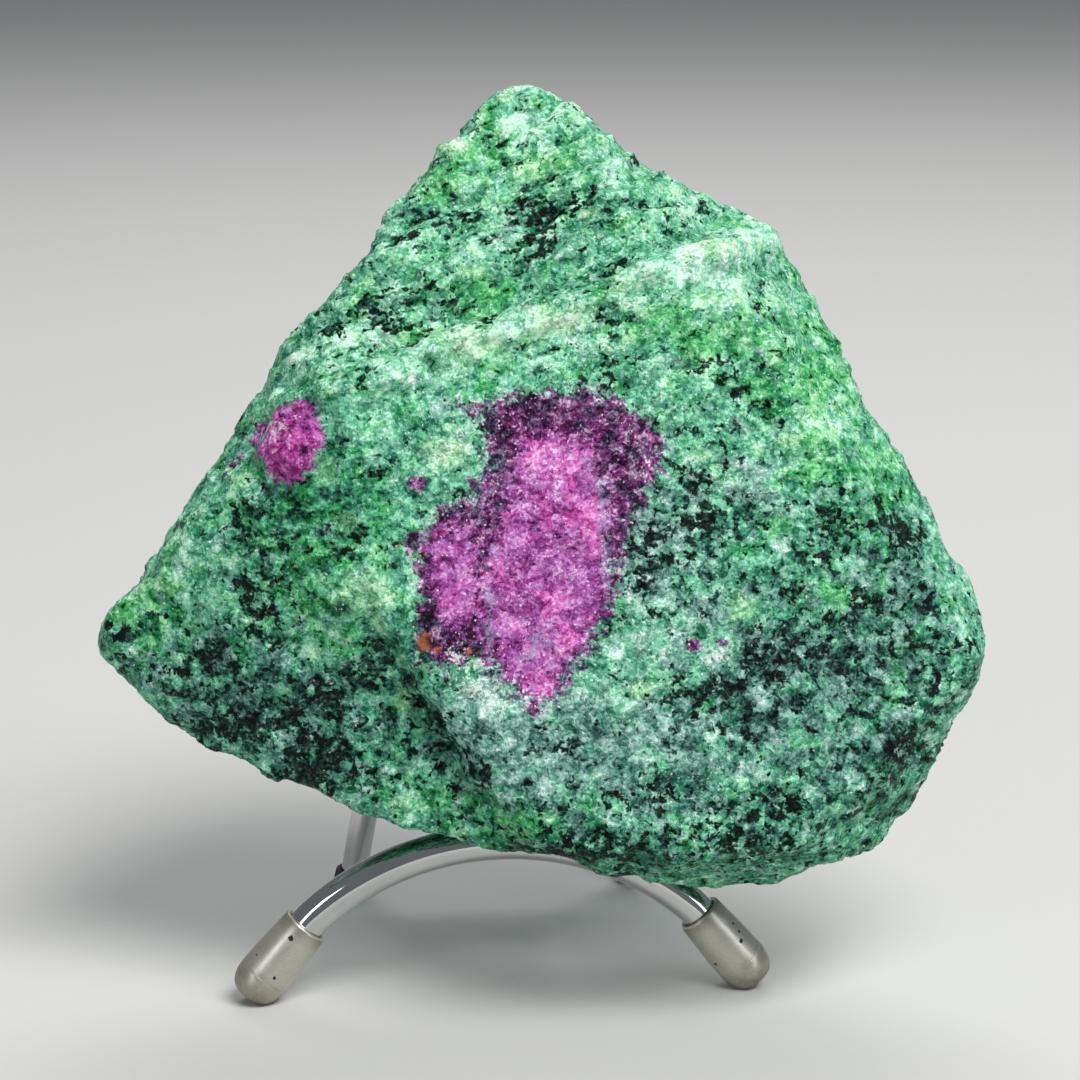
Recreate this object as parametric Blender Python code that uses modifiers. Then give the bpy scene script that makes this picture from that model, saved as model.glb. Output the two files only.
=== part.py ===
"""A rough lump of ruby in zoisite on its chromed wire display stand.

The lump is one solid, chopped out of a slab by flat break faces and then worn
round. It sits on the crown of the front arch and leans back on a hairpin prop.
Metres, +Z up, origin on the floor under the middle of the whole object,
+X to the viewer's right and +Y away from the viewer.
"""

from math import asin, cos, exp, floor, pi, radians, sin, tan

import bmesh
import bpy
from mathutils import Matrix, Vector, noise

MM = 0.001
GAP = 0.3 * MM  # kept between pieces that touch, such as a wire and its weld partner

# Where the stand's centre line and the lump's middle lie from the origin.
STAND_X = -5.58 * MM
STAND_Y = -14.29 * MM
LUMP_CENTRE = Vector((0.34, -2.54, 61.3)) * MM

# Front arch: a bent 5 mm tube, its feet in two flared caps.
TUBE_R = 2.5 * MM
ARCH_BEND_R = 39.45 * MM
ARCH_HALF_ANGLE = radians(41)
ANKLE_BEND_R = 12.7 * MM
FOOT_ANGLE = radians(49.8)  # slope of the feet below the horizontal
ARCH_LEAN = radians(3.7)  # the crown stands this far behind the feet
CROWN_HEIGHT = 21.85 * MM
ARCH_STEPS = 26
ANKLE_STEPS = 4

# Flared cap: profile along its own axis, from the closed end (0) to the mouth.
CAP_LENGTH = 12.85 * MM
CAP_BELLY_R = 3.7 * MM
CAP_BELLY_AT = 3.6 * MM
CAP_END_FLAT_R = 1.65 * MM
CAP_MOUTH_R = 3.25 * MM
CAP_BORE_R = TUBE_R + GAP
CAP_BORE_DEPTH = 8.5 * MM
CAP_TURN_STEPS = 26
TIP_TURN_STEPS = 20
CAP_ROUND_STEPS = 5

# Rear prop: a 4 mm wire bent to a hairpin, its legs in two low tips.
WIRE_R = 2.0 * MM
PROP_FOOT_HALF_WIDTH = 21.7 * MM
PROP_SPLAY = radians(10)
PROP_TOP_BEND_R = 11.5 * MM
PROP_FOOT_BACK = 44.5 * MM  # behind the stand's front feet
PROP_SHIFT = 1.8 * MM  # the prop stands this far right of the arch's middle
PROP_BEND_STEPS = 18
TIP_HEIGHT = 3.0 * MM
TIP_R = 2.75 * MM
TIP_FLOOR = 1.2 * MM
WIRE_SIDES_RESOLUTION = 2

# The lump leans back and is turned a little on its stand.
LUMP_LEAN = radians(14)
LUMP_TURN = radians(-5)
SLAB_HALF_THICKNESS = 32 * MM
VOXEL = 1.6 * MM
WEAR_PASSES = 8
LUMP_TRIANGLES = 7200  # kept where the shape turns

# Outline of the lump square to its front face: apex, then clockwise. Millimetres
# to the right of and above its middle.
OUTLINE = [
    (-2.2, 63.3), (1.6, 62.1), (6.2, 59.7), (10.0, 55.4), (13.9, 52.2), (20.8, 48.9),
    (27.5, 46.1), (31.6, 43.5), (34.6, 39.4), (38.2, 34.2), (41.1, 29.0), (42.5, 22.3),
    (45.2, 17.3), (50.4, 11.4), (54.8, 5.7), (56.3, -0.8), (59.6, -5.8), (60.8, -12.2),
    (59.3, -18.0), (56.1, -24.8), (53.3, -31.4), (49.8, -36.8), (45.1, -41.3),
    (38.6, -43.8), (32.2, -46.4), (26.0, -49.8), (20.0, -49.8), (14.2, -48.2),
    (8.9, -45.6), (3.7, -41.9), (-5.3, -41.2), (-9.3, -41.2), (-13.7, -39.5),
    (-26.6, -36.4), (-33.6, -35.4), (-42.4, -34.2), (-46.2, -28.1), (-52.4, -23.8),
    (-56.5, -18.6), (-61.0, -13.9), (-60.0, -10.3), (-55.2, -5.6), (-51.6, 0.3),
    (-45.5, 9.8), (-40.8, 18.2), (-36.0, 26.1), (-29.7, 32.8), (-23.1, 39.8),
    (-20.8, 45.9), (-15.3, 51.4), (-10.2, 56.6), (-7.2, 62.6),
]

# Break faces: the way each one faces round the front view (degrees from the
# right, anticlockwise), its tilt away from straight forwards (180 faces back),
# and its distance in millimetres from the lump's middle.
BREAK_FACES = {
    "main front": (20, 4, 19.0),
    "upper front": (100.6, 24, 29.5),
    "lower left front": (219, 24, 27.4),
    "upper left edge": (148, 47, 38.6),
    "right edge": (31.5, 55, 42.9),
    "lower right edge": (-39, 52, 52.4),
    "lower front lip": (-86, 60, 45.6),
    "apex right edge": (58, 55, 46.3),
    "main back": (200, 176, 22.9),
    "upper back": (80, 158, 28.6),
    "left back": (186, 152, 32.6),
    "right back": (10, 145, 36.0),
    "lower right back": (-50, 130, 44.5),
    "lower back": (262, 124, 39.6),
}
REST_SLOPE_RIGHT = radians(12)  # the face it rests on falls to the right
REST_SLOPE_FRONT = radians(13)  # and a little to the front

# Relief on the worn skin.
LUMP_SWELLS = ((15 * MM, 1.0 * MM), (6.5 * MM, 0.75 * MM))  # wavelength, height
CALM_NEAR, CALM_FAR = 3.5 * MM, 9.0 * MM  # no relief this close to the wires
FORMS_CALM_FAR = 16 * MM  # the deeper forms of the front fade over a longer way
FORMS_FROM, FORMS_FULL = -4 * MM, 6 * MM  # and towards the lump's back
BANDING_ANGLE = radians(17)  # the rock's layers climb to the right
BANDING_STEP = 7.5 * MM
BANDING_HEIGHT = 0.7 * MM
BANDING_FROM = 30 * MM  # layers stand out above this height on the front
RIDGE = [(31, 43), (22, 38.5), (14, 36.5), (2.5, 32), (-8.5, 27.5), (-19.5, 23.3), (-34, 19)]
RIDGE_HEIGHT = 0.9 * MM
RIDGE_HALF_WIDTH = 2.2 * MM
TROUGH_DEPTH = 1.7 * MM  # above the ridge
TROUGH_REACH = 10 * MM
SPOTS = (  # raised (or sunken) places on the front: right, up, radius, height, millimetres
    (-24.6, -8.0, 4.6, 1.3),
    (-29.5, 7.5, 5.0, 0.8),
    (16.5, 0.5, 9.0, -1.3),
    (27.0, -24.0, 17.0, 1.6),
    (27.5, -10.5, 3.2, 0.7),
    (-14.5, 12.0, 5.0, 0.8),
    (44.0, -15.0, 6.5, -0.9),
    (4.0, -34.0, 7.0, 0.9),
    (30.0, 27.0, 8.0, 0.9),
    (6.0, 55.0, 7.0, 0.8),
    (-44.0, -17.0, 8.0, 0.9),
    (-33.0, -25.0, 5.0, -0.9),
    (-8.0, 44.0, 6.0, -0.8),
)
GROOVE = [(-25, -8), (-19.6, -17.2), (-12.5, -26.9), (-6.4, -36.3), (-1.9, -39.9), (6, -43.2)]
GROOVE_HALF_WIDTH = 1.6 * MM
GROOVE_DEPTH = 1.3 * MM
SETBACK = 2.6 * MM  # the face left of the groove lies this far back
SETBACK_REACH = 16 * MM
RUBY_CENTRE = (1.5 * MM, -0.5 * MM)
RUBY_HALF_SIZES = (12.5 * MM, 22.5 * MM)
RUBY_TURN = radians(-14)
RUBY_SINK = 1.3 * MM
KNOB_CENTRE = Vector((-33.8, 13.5, 18.0)) * MM
KNOB_R = 5.0 * MM
KNOB_HEIGHT = 2.3 * MM
KNOB_MOAT_DEPTH = 0.7 * MM

FINISHES = {  # colour, roughness, metallic
    "zoisite": ((0.22, 0.42, 0.25), 0.55, 0.0),
    "chrome": ((0.62, 0.62, 0.63), 0.08, 1.0),
    "cap_metal": ((0.50, 0.48, 0.43), 0.32, 0.85),
    "tip_rubber": ((0.03, 0.03, 0.03), 0.7, 0.0),
}


def clear_scene():
    for obj in list(bpy.data.objects):
        bpy.data.objects.remove(obj)


def new_collection(name):
    collection = bpy.data.collections.new(name)
    bpy.context.scene.collection.children.link(collection)
    return collection


def finish_of(name):
    material = bpy.data.materials.get(name)
    if material is None:
        colour, roughness, metallic = FINISHES[name]
        material = bpy.data.materials.new(name)
        material.use_nodes = True
        shader = material.node_tree.nodes["Principled BSDF"]
        shader.inputs["Base Color"].default_value = (*colour, 1)
        shader.inputs["Roughness"].default_value = roughness
        shader.inputs["Metallic"].default_value = metallic
    return material


def add_object(name, data, finish, collection):
    obj = bpy.data.objects.new(name, data)
    collection.objects.link(obj)
    data.materials.append(finish_of(finish))
    return obj


def as_mesh(obj):
    """The object's shape, modifiers included, as a mesh of its own; the object is removed."""
    graph = bpy.context.evaluated_depsgraph_get()
    mesh = bpy.data.meshes.new_from_object(obj.evaluated_get(graph))
    bpy.data.objects.remove(obj)
    return mesh


def smoothstep(low, high, x):
    """0 at low, 1 at high, smooth between; low may be above high."""
    t = min(max((x - low) / (high - low), 0.0), 1.0)
    return t * t * (3 - 2 * t)


# ---------------------------------------------------------------- wire paths


def arch_half():
    """Centre line of the right half of the arch, flat: a wide bend, then the ankle."""
    points = [Vector((0, 0))]
    heading = 0.0
    bends = (
        (ARCH_BEND_R, ARCH_HALF_ANGLE, ARCH_STEPS // 2),
        (ANKLE_BEND_R, FOOT_ANGLE - ARCH_HALF_ANGLE, ANKLE_STEPS),
    )
    for radius, angle, steps in bends:
        for _ in range(steps):
            turn = angle / steps
            chord = 2 * radius * sin(turn / 2)
            middle = heading + turn / 2
            points.append(points[-1] + chord * Vector((cos(middle), -sin(middle))))
            heading += turn
    return points


def stand_point(x, height, lean):
    """A point of the front arch's plane, which leans back from its feet on the floor."""
    return Vector((STAND_X + x, STAND_Y + height * sin(lean), height * cos(lean)))


def arch_path():
    """Centre line of the front arch from foot to foot, and the cap mouth on each side."""
    half = [Vector((p.x, p.y + CROWN_HEIGHT / cos(ARCH_LEAN))) for p in arch_half()]
    into_cap = (CAP_BORE_DEPTH - GAP) * Vector((cos(FOOT_ANGLE), -sin(FOOT_ANGLE)))
    mouth = half[-1]
    half.append(mouth + into_cap)
    both = [Vector((-p.x, p.y)) for p in reversed(half[1:])] + half
    return [stand_point(p.x, p.y, ARCH_LEAN) for p in both], mouth


def prop_lean():
    """The prop leans forwards until its top bend meets the lump's back face."""
    top = prop_outline()[len(prop_outline()) // 2]
    reach = STAND_Y + PROP_FOOT_BACK - back_face_y(top.y) - WIRE_R - GAP
    return asin(reach / top.y)


def prop_outline():
    """The hairpin, flat: left foot, up the leg, round the bend, and down."""
    tangent_width = PROP_TOP_BEND_R * cos(PROP_SPLAY)
    tangent_height = (PROP_FOOT_HALF_WIDTH - tangent_width) / tan(PROP_SPLAY)
    middle = Vector((0, tangent_height - PROP_TOP_BEND_R * sin(PROP_SPLAY)))
    start, end = pi - PROP_SPLAY, PROP_SPLAY
    bend = []
    for i in range(PROP_BEND_STEPS + 1):
        angle = start + (end - start) * i / PROP_BEND_STEPS
        bend.append(middle + PROP_TOP_BEND_R * Vector((cos(angle), sin(angle))))
    lift = TIP_FLOOR + GAP
    foot_x = PROP_FOOT_HALF_WIDTH - lift * tan(PROP_SPLAY)
    return [Vector((-foot_x, lift)), *bend, Vector((foot_x, lift))]


def prop_point(p):
    lean = prop_lean()
    return Vector(
        (STAND_X + PROP_SHIFT + p.x, STAND_Y + PROP_FOOT_BACK - p.y * sin(lean), p.y * cos(lean))
    )


def prop_path():
    return [prop_point(p) for p in prop_outline()]


# ---------------------------------------------------------------- the lump


def lump_matrix():
    """Lump axes: x to the right, y up its face, z straight out of its front."""
    turned = Matrix.Rotation(LUMP_TURN, 4, "Z")
    tipped = Matrix.Rotation(pi / 2 - LUMP_LEAN, 4, "X")
    return Matrix.Translation(LUMP_CENTRE) @ turned @ tipped


def face_normal(facing, tilt):
    facing, tilt = radians(facing), radians(tilt)
    return Vector((sin(tilt) * cos(facing), sin(tilt) * sin(facing), cos(tilt)))


def back_face_y(height):
    """How far back the lump's main back face lies on the prop's centre line."""
    facing, tilt, distance = BREAK_FACES["main back"]
    to_world = lump_matrix()
    normal = to_world.to_3x3() @ face_normal(facing, tilt)
    on_face = to_world @ (face_normal(facing, tilt) * distance * MM)
    across = normal.x * (STAND_X + PROP_SHIFT - on_face.x) + normal.z * (height - on_face.z)
    return on_face.y - across / normal.y


def rest_face():
    """The face under the lump, in its own axes, just clear of the front arch."""
    down = Vector((-tan(REST_SLOPE_RIGHT), tan(REST_SLOPE_FRONT), -1)).normalized()
    path, _ = arch_path()
    reach = min(down.dot(p) for p in path)
    on_face = down * (reach - TUBE_R - GAP)
    to_lump = lump_matrix().inverted()
    return to_lump @ on_face, to_lump.to_3x3() @ down


def chop(bm, point, normal):
    """Takes away what lies beyond a flat face and closes the cut."""
    geometry = bm.verts[:] + bm.edges[:] + bm.faces[:]
    cut = bmesh.ops.bisect_plane(
        bm, geom=geometry, dist=1e-7, plane_co=point, plane_no=normal, clear_outer=True
    )
    rim = [e for e in cut["geom_cut"] if isinstance(e, bmesh.types.BMEdge)]
    bmesh.ops.holes_fill(bm, edges=rim, sides=0)


def slab(collection):
    """The outline as a flat filled curve with thickness."""
    curve = bpy.data.curves.new("slab", "CURVE")
    curve.dimensions = "2D"
    curve.fill_mode = "BOTH"
    curve.extrude = SLAB_HALF_THICKNESS
    spline = curve.splines.new("POLY")
    spline.points.add(len(OUTLINE) - 1)
    for point, (x, y) in zip(spline.points, OUTLINE):
        point.co = (x * MM, y * MM, 0, 1)
    spline.use_cyclic_u = True
    obj = bpy.data.objects.new("slab", curve)
    collection.objects.link(obj)
    return as_mesh(obj)


def chopped_block(collection):
    bm = bmesh.new()
    bm.from_mesh(slab(collection))
    bmesh.ops.remove_doubles(bm, verts=bm.verts, dist=1e-6)
    for facing, tilt, distance in BREAK_FACES.values():
        normal = face_normal(facing, tilt)
        chop(bm, normal * distance * MM, normal)
    chop(bm, *rest_face())
    bmesh.ops.recalc_face_normals(bm, faces=bm.faces)
    mesh = bpy.data.meshes.new("chopped_block")
    bm.to_mesh(mesh)
    bm.free()
    return mesh


def worn_block(collection):
    """The block in even faces, its corners worn round."""
    obj = bpy.data.objects.new("chopped_block", chopped_block(collection))
    collection.objects.link(obj)
    remesh = obj.modifiers.new("even_faces", "REMESH")
    remesh.mode = "VOXEL"
    remesh.voxel_size = VOXEL
    wear = obj.modifiers.new("wear", "SMOOTH")
    wear.factor = 0.5
    wear.iterations = WEAR_PASSES
    return as_mesh(obj)


def along_polyline(p, line):
    """Signed distance from a point to a line of points, positive to its left-hand
    side looking along it, and how far along it the nearest point lies, 0 to 1."""
    best = (1e9, 1.0, 0.0)
    for i, (a, b) in enumerate(zip(line, line[1:])):
        along = b - a
        t = min(max((p - a).dot(along) / along.length_squared, 0.0), 1.0)
        offset = p - (a + along * t)
        side = along.x * (p - a).y - along.y * (p - a).x
        if offset.length < best[0]:
            best = (offset.length, 1.0 if side > 0 else -1.0, (i + t) / (len(line) - 1))
    return best[0] * best[1], best[2]


def groove_relief(x, y):
    """The face left of the groove is set back, and the groove is cut along its foot."""
    line = [Vector(p) * MM for p in GROOVE]
    distance, share = along_polyline(Vector((x, y)), line)
    fade = smoothstep(0.0, 0.3, share)
    below = -distance
    back = smoothstep(-GROOVE_HALF_WIDTH, GROOVE_HALF_WIDTH, below)
    back *= 1 - smoothstep(0.3 * SETBACK_REACH, SETBACK_REACH, below)
    cut = exp(-((distance / GROOVE_HALF_WIDTH) ** 2))
    return -fade * (SETBACK * back + GROOVE_DEPTH * cut)


def ridge_relief(x, y):
    """A low crest from the right shoulder down to the left, a trough along its upper side."""
    line = [Vector(p) * MM for p in RIDGE]
    distance, share = along_polyline(Vector((x, y)), line)
    above = -distance
    ends = smoothstep(0.0, 0.12, share) * smoothstep(1.0, 0.85, share)
    crest = exp(-((distance / RIDGE_HALF_WIDTH) ** 2))
    trough = smoothstep(0, 0.4 * TROUGH_REACH, above) * smoothstep(TROUGH_REACH, 0.5 * TROUGH_REACH, above)
    return ends * (RIDGE_HEIGHT * crest - TROUGH_DEPTH * trough)


def spot_relief(x, y):
    """Raised and sunken places, each a smooth hump."""
    total = 0.0
    for right, up, radius, height in SPOTS:
        reach = Vector((x / MM - right, y / MM - up)).length / radius
        total += height * MM * (1 - smoothstep(0.0, 1.5, reach))
    return total


def front_relief(x, y):
    forms = (groove_relief, ruby_relief, banding_relief, ridge_relief, spot_relief)
    return sum(form(x, y) for form in forms)


def ruby_relief(x, y):
    """The big ruby lies a little below the skin, its middle raised again."""
    x, y = x - RUBY_CENTRE[0], y - RUBY_CENTRE[1]
    across = (x * cos(RUBY_TURN) + y * sin(RUBY_TURN)) / RUBY_HALF_SIZES[0]
    up = (y * cos(RUBY_TURN) - x * sin(RUBY_TURN)) / RUBY_HALF_SIZES[1]
    reach = (across * across + up * up) ** 0.5
    return -RUBY_SINK * (1 - smoothstep(0.75, 1.15, reach)) * (1 - 0.6 * smoothstep(0.8, 0.1, reach))


def knob_relief(p):
    """The small ruby stands out as a knob with a worn moat round it."""
    reach = (p - KNOB_CENTRE).length / KNOB_R
    dome = KNOB_HEIGHT * max(0.0, 1 - reach**2) ** 0.6
    moat = KNOB_MOAT_DEPTH * exp(-(((reach - 1.25) / 0.22) ** 2))
    return dome - moat


def banding_relief(x, y):
    """Low ledges where the layers of the upper face broke."""
    across = (y * cos(BANDING_ANGLE) - x * sin(BANDING_ANGLE)) / BANDING_STEP
    across += 0.35 * noise.noise(Vector((x, y, 0)) / (18 * MM))
    ledge = across - floor(across)
    above = y - 0.36 * x
    return BANDING_HEIGHT * (ledge**3 - 0.3) * smoothstep(-4 * MM, 4 * MM, above - BANDING_FROM)


def distance_to_path(p, path):
    return min(
        (p - (a + (b - a) * min(max((p - a).dot(b - a) / (b - a).length_squared, 0), 1))).length
        for a, b in zip(path, path[1:])
    )


def add_relief(mesh):
    """Moves the worn skin: swells everywhere, and the forms of the front face."""
    to_world = lump_matrix()
    arch, _ = arch_path()
    wires = (arch, prop_path())
    moves = []
    for vertex in mesh.vertices:
        p, normal = vertex.co, vertex.normal
        swell = sum(
            height * noise.noise(p / length + Vector((3.1, 7.7, 1.3)))
            for length, height in LUMP_SWELLS
        )
        near = min(distance_to_path(to_world @ p, path) for path in wires)
        move = normal * (swell + knob_relief(p)) * smoothstep(CALM_NEAR, CALM_FAR, near)
        share = smoothstep(CALM_NEAR, FORMS_CALM_FAR, near) * smoothstep(FORMS_FROM, FORMS_FULL, p.z)
        moves.append(move + Vector((0, 0, share * front_relief(p.x, p.y))))
    for vertex, move in zip(mesh.vertices, moves):
        vertex.co += move


def thinned(mesh, collection):
    """The same surface in fewer faces, kept small only where it turns."""
    mesh.calc_loop_triangles()
    obj = bpy.data.objects.new("thinned", mesh)
    collection.objects.link(obj)
    thin = obj.modifiers.new("thin", "DECIMATE")
    thin.ratio = LUMP_TRIANGLES / len(mesh.loop_triangles)
    return as_mesh(obj)


def make_lump(collection, workshop):
    mesh = worn_block(workshop)
    add_relief(mesh)
    mesh = thinned(mesh, workshop)
    mesh.shade_smooth()
    lump = add_object("ruby_zoisite_lump", mesh, "zoisite", collection)
    lump.matrix_world = lump_matrix()


# ---------------------------------------------------------------- the stand


def make_wire(name, path, radius, resolution, collection, finish="chrome"):
    curve = bpy.data.curves.new(name, "CURVE")
    curve.dimensions = "3D"
    curve.bevel_depth = radius
    curve.bevel_resolution = resolution
    curve.use_fill_caps = True
    spline = curve.splines.new("POLY")
    spline.points.add(len(path) - 1)
    for point, place in zip(spline.points, path):
        point.co = (*place, 1)
    return add_object(name, curve, finish, collection)


def turned(name, profile, steps):
    """A mesh turned about its own Z axis from (radius, height) points, top to bottom outside."""
    mesh = bpy.data.meshes.new(name)
    bm = bmesh.new()
    ring = [bm.verts.new((radius, 0, height)) for radius, height in profile]
    for a, b in zip(ring, ring[1:]):
        bm.edges.new((a, b))
    bm.to_mesh(mesh)
    bm.free()
    obj = bpy.data.objects.new(name, mesh)
    bpy.context.scene.collection.objects.link(obj)
    screw = obj.modifiers.new("turn", "SCREW")
    screw.steps = steps
    screw.render_steps = steps
    screw.use_merge_vertices = True
    screw.merge_threshold = 1e-6
    return as_mesh(obj)


def stand_flat(mesh, matrix):
    """Places the mesh and takes off what would reach below the floor."""
    mesh.transform(matrix)
    bm = bmesh.new()
    bm.from_mesh(mesh)
    bmesh.ops.remove_doubles(bm, verts=bm.verts, dist=1e-6)
    bmesh.ops.recalc_face_normals(bm, faces=bm.faces)
    chop(bm, Vector((0, 0, 0)), Vector((0, 0, -1)))
    bm.to_mesh(mesh)
    bm.free()
    mesh.set_sharp_from_angle(angle=radians(40))


def cap_profile():
    """From the floor of the bore, out over the mouth, down the flare and round the end."""
    round_r = CAP_BELLY_R - CAP_END_FLAT_R
    profile = [
        (0, CAP_LENGTH - CAP_BORE_DEPTH),
        (CAP_BORE_R, CAP_LENGTH - CAP_BORE_DEPTH),
        (CAP_BORE_R, CAP_LENGTH),
        (CAP_MOUTH_R, CAP_LENGTH),
    ]
    for i in range(CAP_ROUND_STEPS + 1):
        angle = (pi / 2) * i / CAP_ROUND_STEPS
        radius = CAP_END_FLAT_R + round_r * cos(angle)
        profile.append((radius, CAP_BELLY_AT * (1 - sin(angle))))
    profile.append((0, 0))
    return profile


def make_cap(name, side, collection):
    """A cap on the foot at that side, -1 left or 1 right, its axis along the foot."""
    _, mouth = arch_path()
    end = mouth + CAP_LENGTH * Vector((cos(FOOT_ANGLE), -sin(FOOT_ANGLE)))
    rise = sin(FOOT_ANGLE)
    axis = Vector((-side * cos(FOOT_ANGLE), rise * sin(ARCH_LEAN), rise * cos(ARCH_LEAN)))
    place = Matrix.Translation(stand_point(side * end.x, end.y, ARCH_LEAN))
    mesh = turned(name, cap_profile(), CAP_TURN_STEPS)
    stand_flat(mesh, place @ axis.to_track_quat("Z", "Y").to_matrix().to_4x4())
    add_object(name, mesh, "cap_metal", collection)


def make_tip(name, side, collection):
    """A low rubber tip on the prop's leg at that side, flat on the floor."""
    slack = 1.0 * MM  # reaches below the floor, and is cut off there
    bore_r = WIRE_R + GAP
    profile = [
        (0, TIP_FLOOR),
        (bore_r, TIP_FLOOR),
        (bore_r, TIP_HEIGHT),
        (TIP_R, TIP_HEIGHT),
        (TIP_R * 1.06, TIP_HEIGHT * 0.3),
        (TIP_R * 1.06, -slack),
        (0, -slack),
    ]
    foot = prop_point(Vector((side * PROP_FOOT_HALF_WIDTH, 0)))
    above = prop_point(Vector((side * (PROP_FOOT_HALF_WIDTH - tan(PROP_SPLAY) * MM), MM)))
    place = Matrix.Translation(foot)
    mesh = turned(name, profile, TIP_TURN_STEPS)
    stand_flat(mesh, place @ (above - foot).to_track_quat("Z", "Y").to_matrix().to_4x4())
    add_object(name, mesh, "tip_rubber", collection)


def make_bars(collection):
    """The cross bar between the prop's legs and the keel bar to the arch's crown."""
    height = CROWN_HEIGHT
    lean = prop_lean()
    back = STAND_Y + PROP_FOOT_BACK - height * tan(lean)
    half = PROP_FOOT_HALF_WIDTH - height / cos(lean) * tan(PROP_SPLAY)
    half -= WIRE_R * (1 / cos(PROP_SPLAY) + tan(PROP_SPLAY)) + GAP
    middle = STAND_X + PROP_SHIFT
    ends = [Vector((middle + side * half, back, height)) for side in (-1, 1)]
    make_wire("cross_bar", ends, WIRE_R, WIRE_SIDES_RESOLUTION, collection)
    crown_y = STAND_Y + CROWN_HEIGHT * tan(ARCH_LEAN)
    keel = [
        Vector((STAND_X, crown_y + TUBE_R + GAP, height)),
        Vector((STAND_X, back - WIRE_R - GAP, height)),
    ]
    make_wire("keel_bar", keel, WIRE_R, WIRE_SIDES_RESOLUTION, collection)


def make_stand(collection):
    path, _ = arch_path()
    make_wire("front_arch", path, TUBE_R, 3, collection)
    make_wire("rear_prop", prop_path(), WIRE_R, WIRE_SIDES_RESOLUTION, collection)
    make_bars(collection)
    for side, word in ((-1, "left"), (1, "right")):
        make_cap(f"foot_cap_{word}", side, collection)
        make_tip(f"prop_tip_{word}", side, collection)


def main():
    clear_scene()
    workshop = new_collection("workshop")
    specimen = new_collection("ruby_in_zoisite_on_stand")
    make_stand(specimen)
    make_lump(specimen, workshop)


main()
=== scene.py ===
from math import cos, pi, radians, sin, sqrt, tan

import bmesh
import bpy
import numpy as np
from mathutils import Matrix, Vector


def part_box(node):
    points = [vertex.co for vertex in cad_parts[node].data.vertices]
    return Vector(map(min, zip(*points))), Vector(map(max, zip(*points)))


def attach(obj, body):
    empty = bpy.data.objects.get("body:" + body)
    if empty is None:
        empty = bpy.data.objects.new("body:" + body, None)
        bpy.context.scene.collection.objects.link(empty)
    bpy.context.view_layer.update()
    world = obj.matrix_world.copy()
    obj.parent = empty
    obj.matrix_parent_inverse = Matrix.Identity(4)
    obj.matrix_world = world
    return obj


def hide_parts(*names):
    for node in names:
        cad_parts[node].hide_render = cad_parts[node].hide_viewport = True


# A lump of ruby in zoisite, leaning back on its chromed wire stand.
# Metres, +Z up, +X to the viewer's right and +Y away from the viewer.

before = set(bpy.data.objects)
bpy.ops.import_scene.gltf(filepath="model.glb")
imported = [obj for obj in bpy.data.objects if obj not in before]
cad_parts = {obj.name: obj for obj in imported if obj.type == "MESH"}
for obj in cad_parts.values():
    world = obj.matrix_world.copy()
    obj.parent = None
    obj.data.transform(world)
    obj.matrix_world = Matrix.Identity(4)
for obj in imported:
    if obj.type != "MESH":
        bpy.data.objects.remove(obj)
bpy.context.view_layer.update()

MM = 0.001

# ---- the camera's place

VIEW_TARGET = Vector((0.64, -0.54, 61.5)) * MM
VIEW_TURN, VIEW_RISE = radians(-5), radians(14)
VIEW_DISTANCE, SENSOR_WIDTH, LENS = 450, 36, 108  # millimetres

# ---- sizes of the stand

STAND_X = -5.58 * MM
STAND_Y = -14.29 * MM
TUBE_R = 2.5 * MM
ARCH_BEND_R = 39.45 * MM
ARCH_HALF_ANGLE = radians(41)
ANKLE_BEND_R = 12.7 * MM
FOOT_ANGLE = radians(49.8)  # slope of the feet below the horizontal
ARCH_LEAN = radians(3.7)
CROWN_HEIGHT = 21.85 * MM
CAP_LENGTH = 12.85 * MM
CAP_BORE_DEPTH = 8.5 * MM
WIRE_R = 2.0 * MM
PROP_FOOT_HALF_WIDTH = 21.7 * MM
PROP_SPLAY = radians(10)
PROP_TOP_BEND_R = 11.5 * MM
PROP_FOOT_BACK = 44.5 * MM
PROP_X = STAND_X + 1.8 * MM  # the prop stands a little right of the arch's middle
PROP_LEAN = radians(3.9346)
PROP_FOOT_LIFT = 1.5 * MM
BEND_STEP = radians(1.5)  # a bend is drawn in turns this small
SWEEP_STEP = 0.6 * MM
WIRE_SIDES, CAP_SIDES, TIP_SIDES = 36, 56, 40
WELD_DROP_R, WELD_DROP_STEP = 0.55 * MM, 0.5 * MM
WELD_RING_POINTS = 40
JOINT_OVERLAP = 0.9 * MM  # a bar's end runs this far into what it is welded to

# ---- sizes of the lump

LUMP_CENTRE = Vector((0.34, -2.54, 61.3)) * MM
LUMP_LEAN = radians(14)
LUMP_TURN = radians(-5)
SKIN_VOXEL = 0.62 * MM
SKIN_WEAR_PASSES = 7

# Millimetres across: the rock's cells of colour, the smallest of which place the painted glints, its clouds
# of colour, and its broken faces.
GRAIN, CRYSTAL, GLINT = 0.4, 1.5, 0.24
PATCH, SMALL, TINY, CLUMP, STREAK, SPECK, WARP = 4.2, 1.5, 0.5, 1.8, 1.4, 0.9, 0.8
FACET, CHIP = 4.6, 1.9
FACET_HEIGHT, CHIP_HEIGHT, SOFT_HEIGHT = 0.85, 0.6, 0.2
BANDING_ANGLE = radians(22)  # the rock's streaks climb to the right
LAYER_STEP, LAYER_HEIGHT = 4.6, 1.2  # ledges of the layered top, in millimetres
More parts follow.
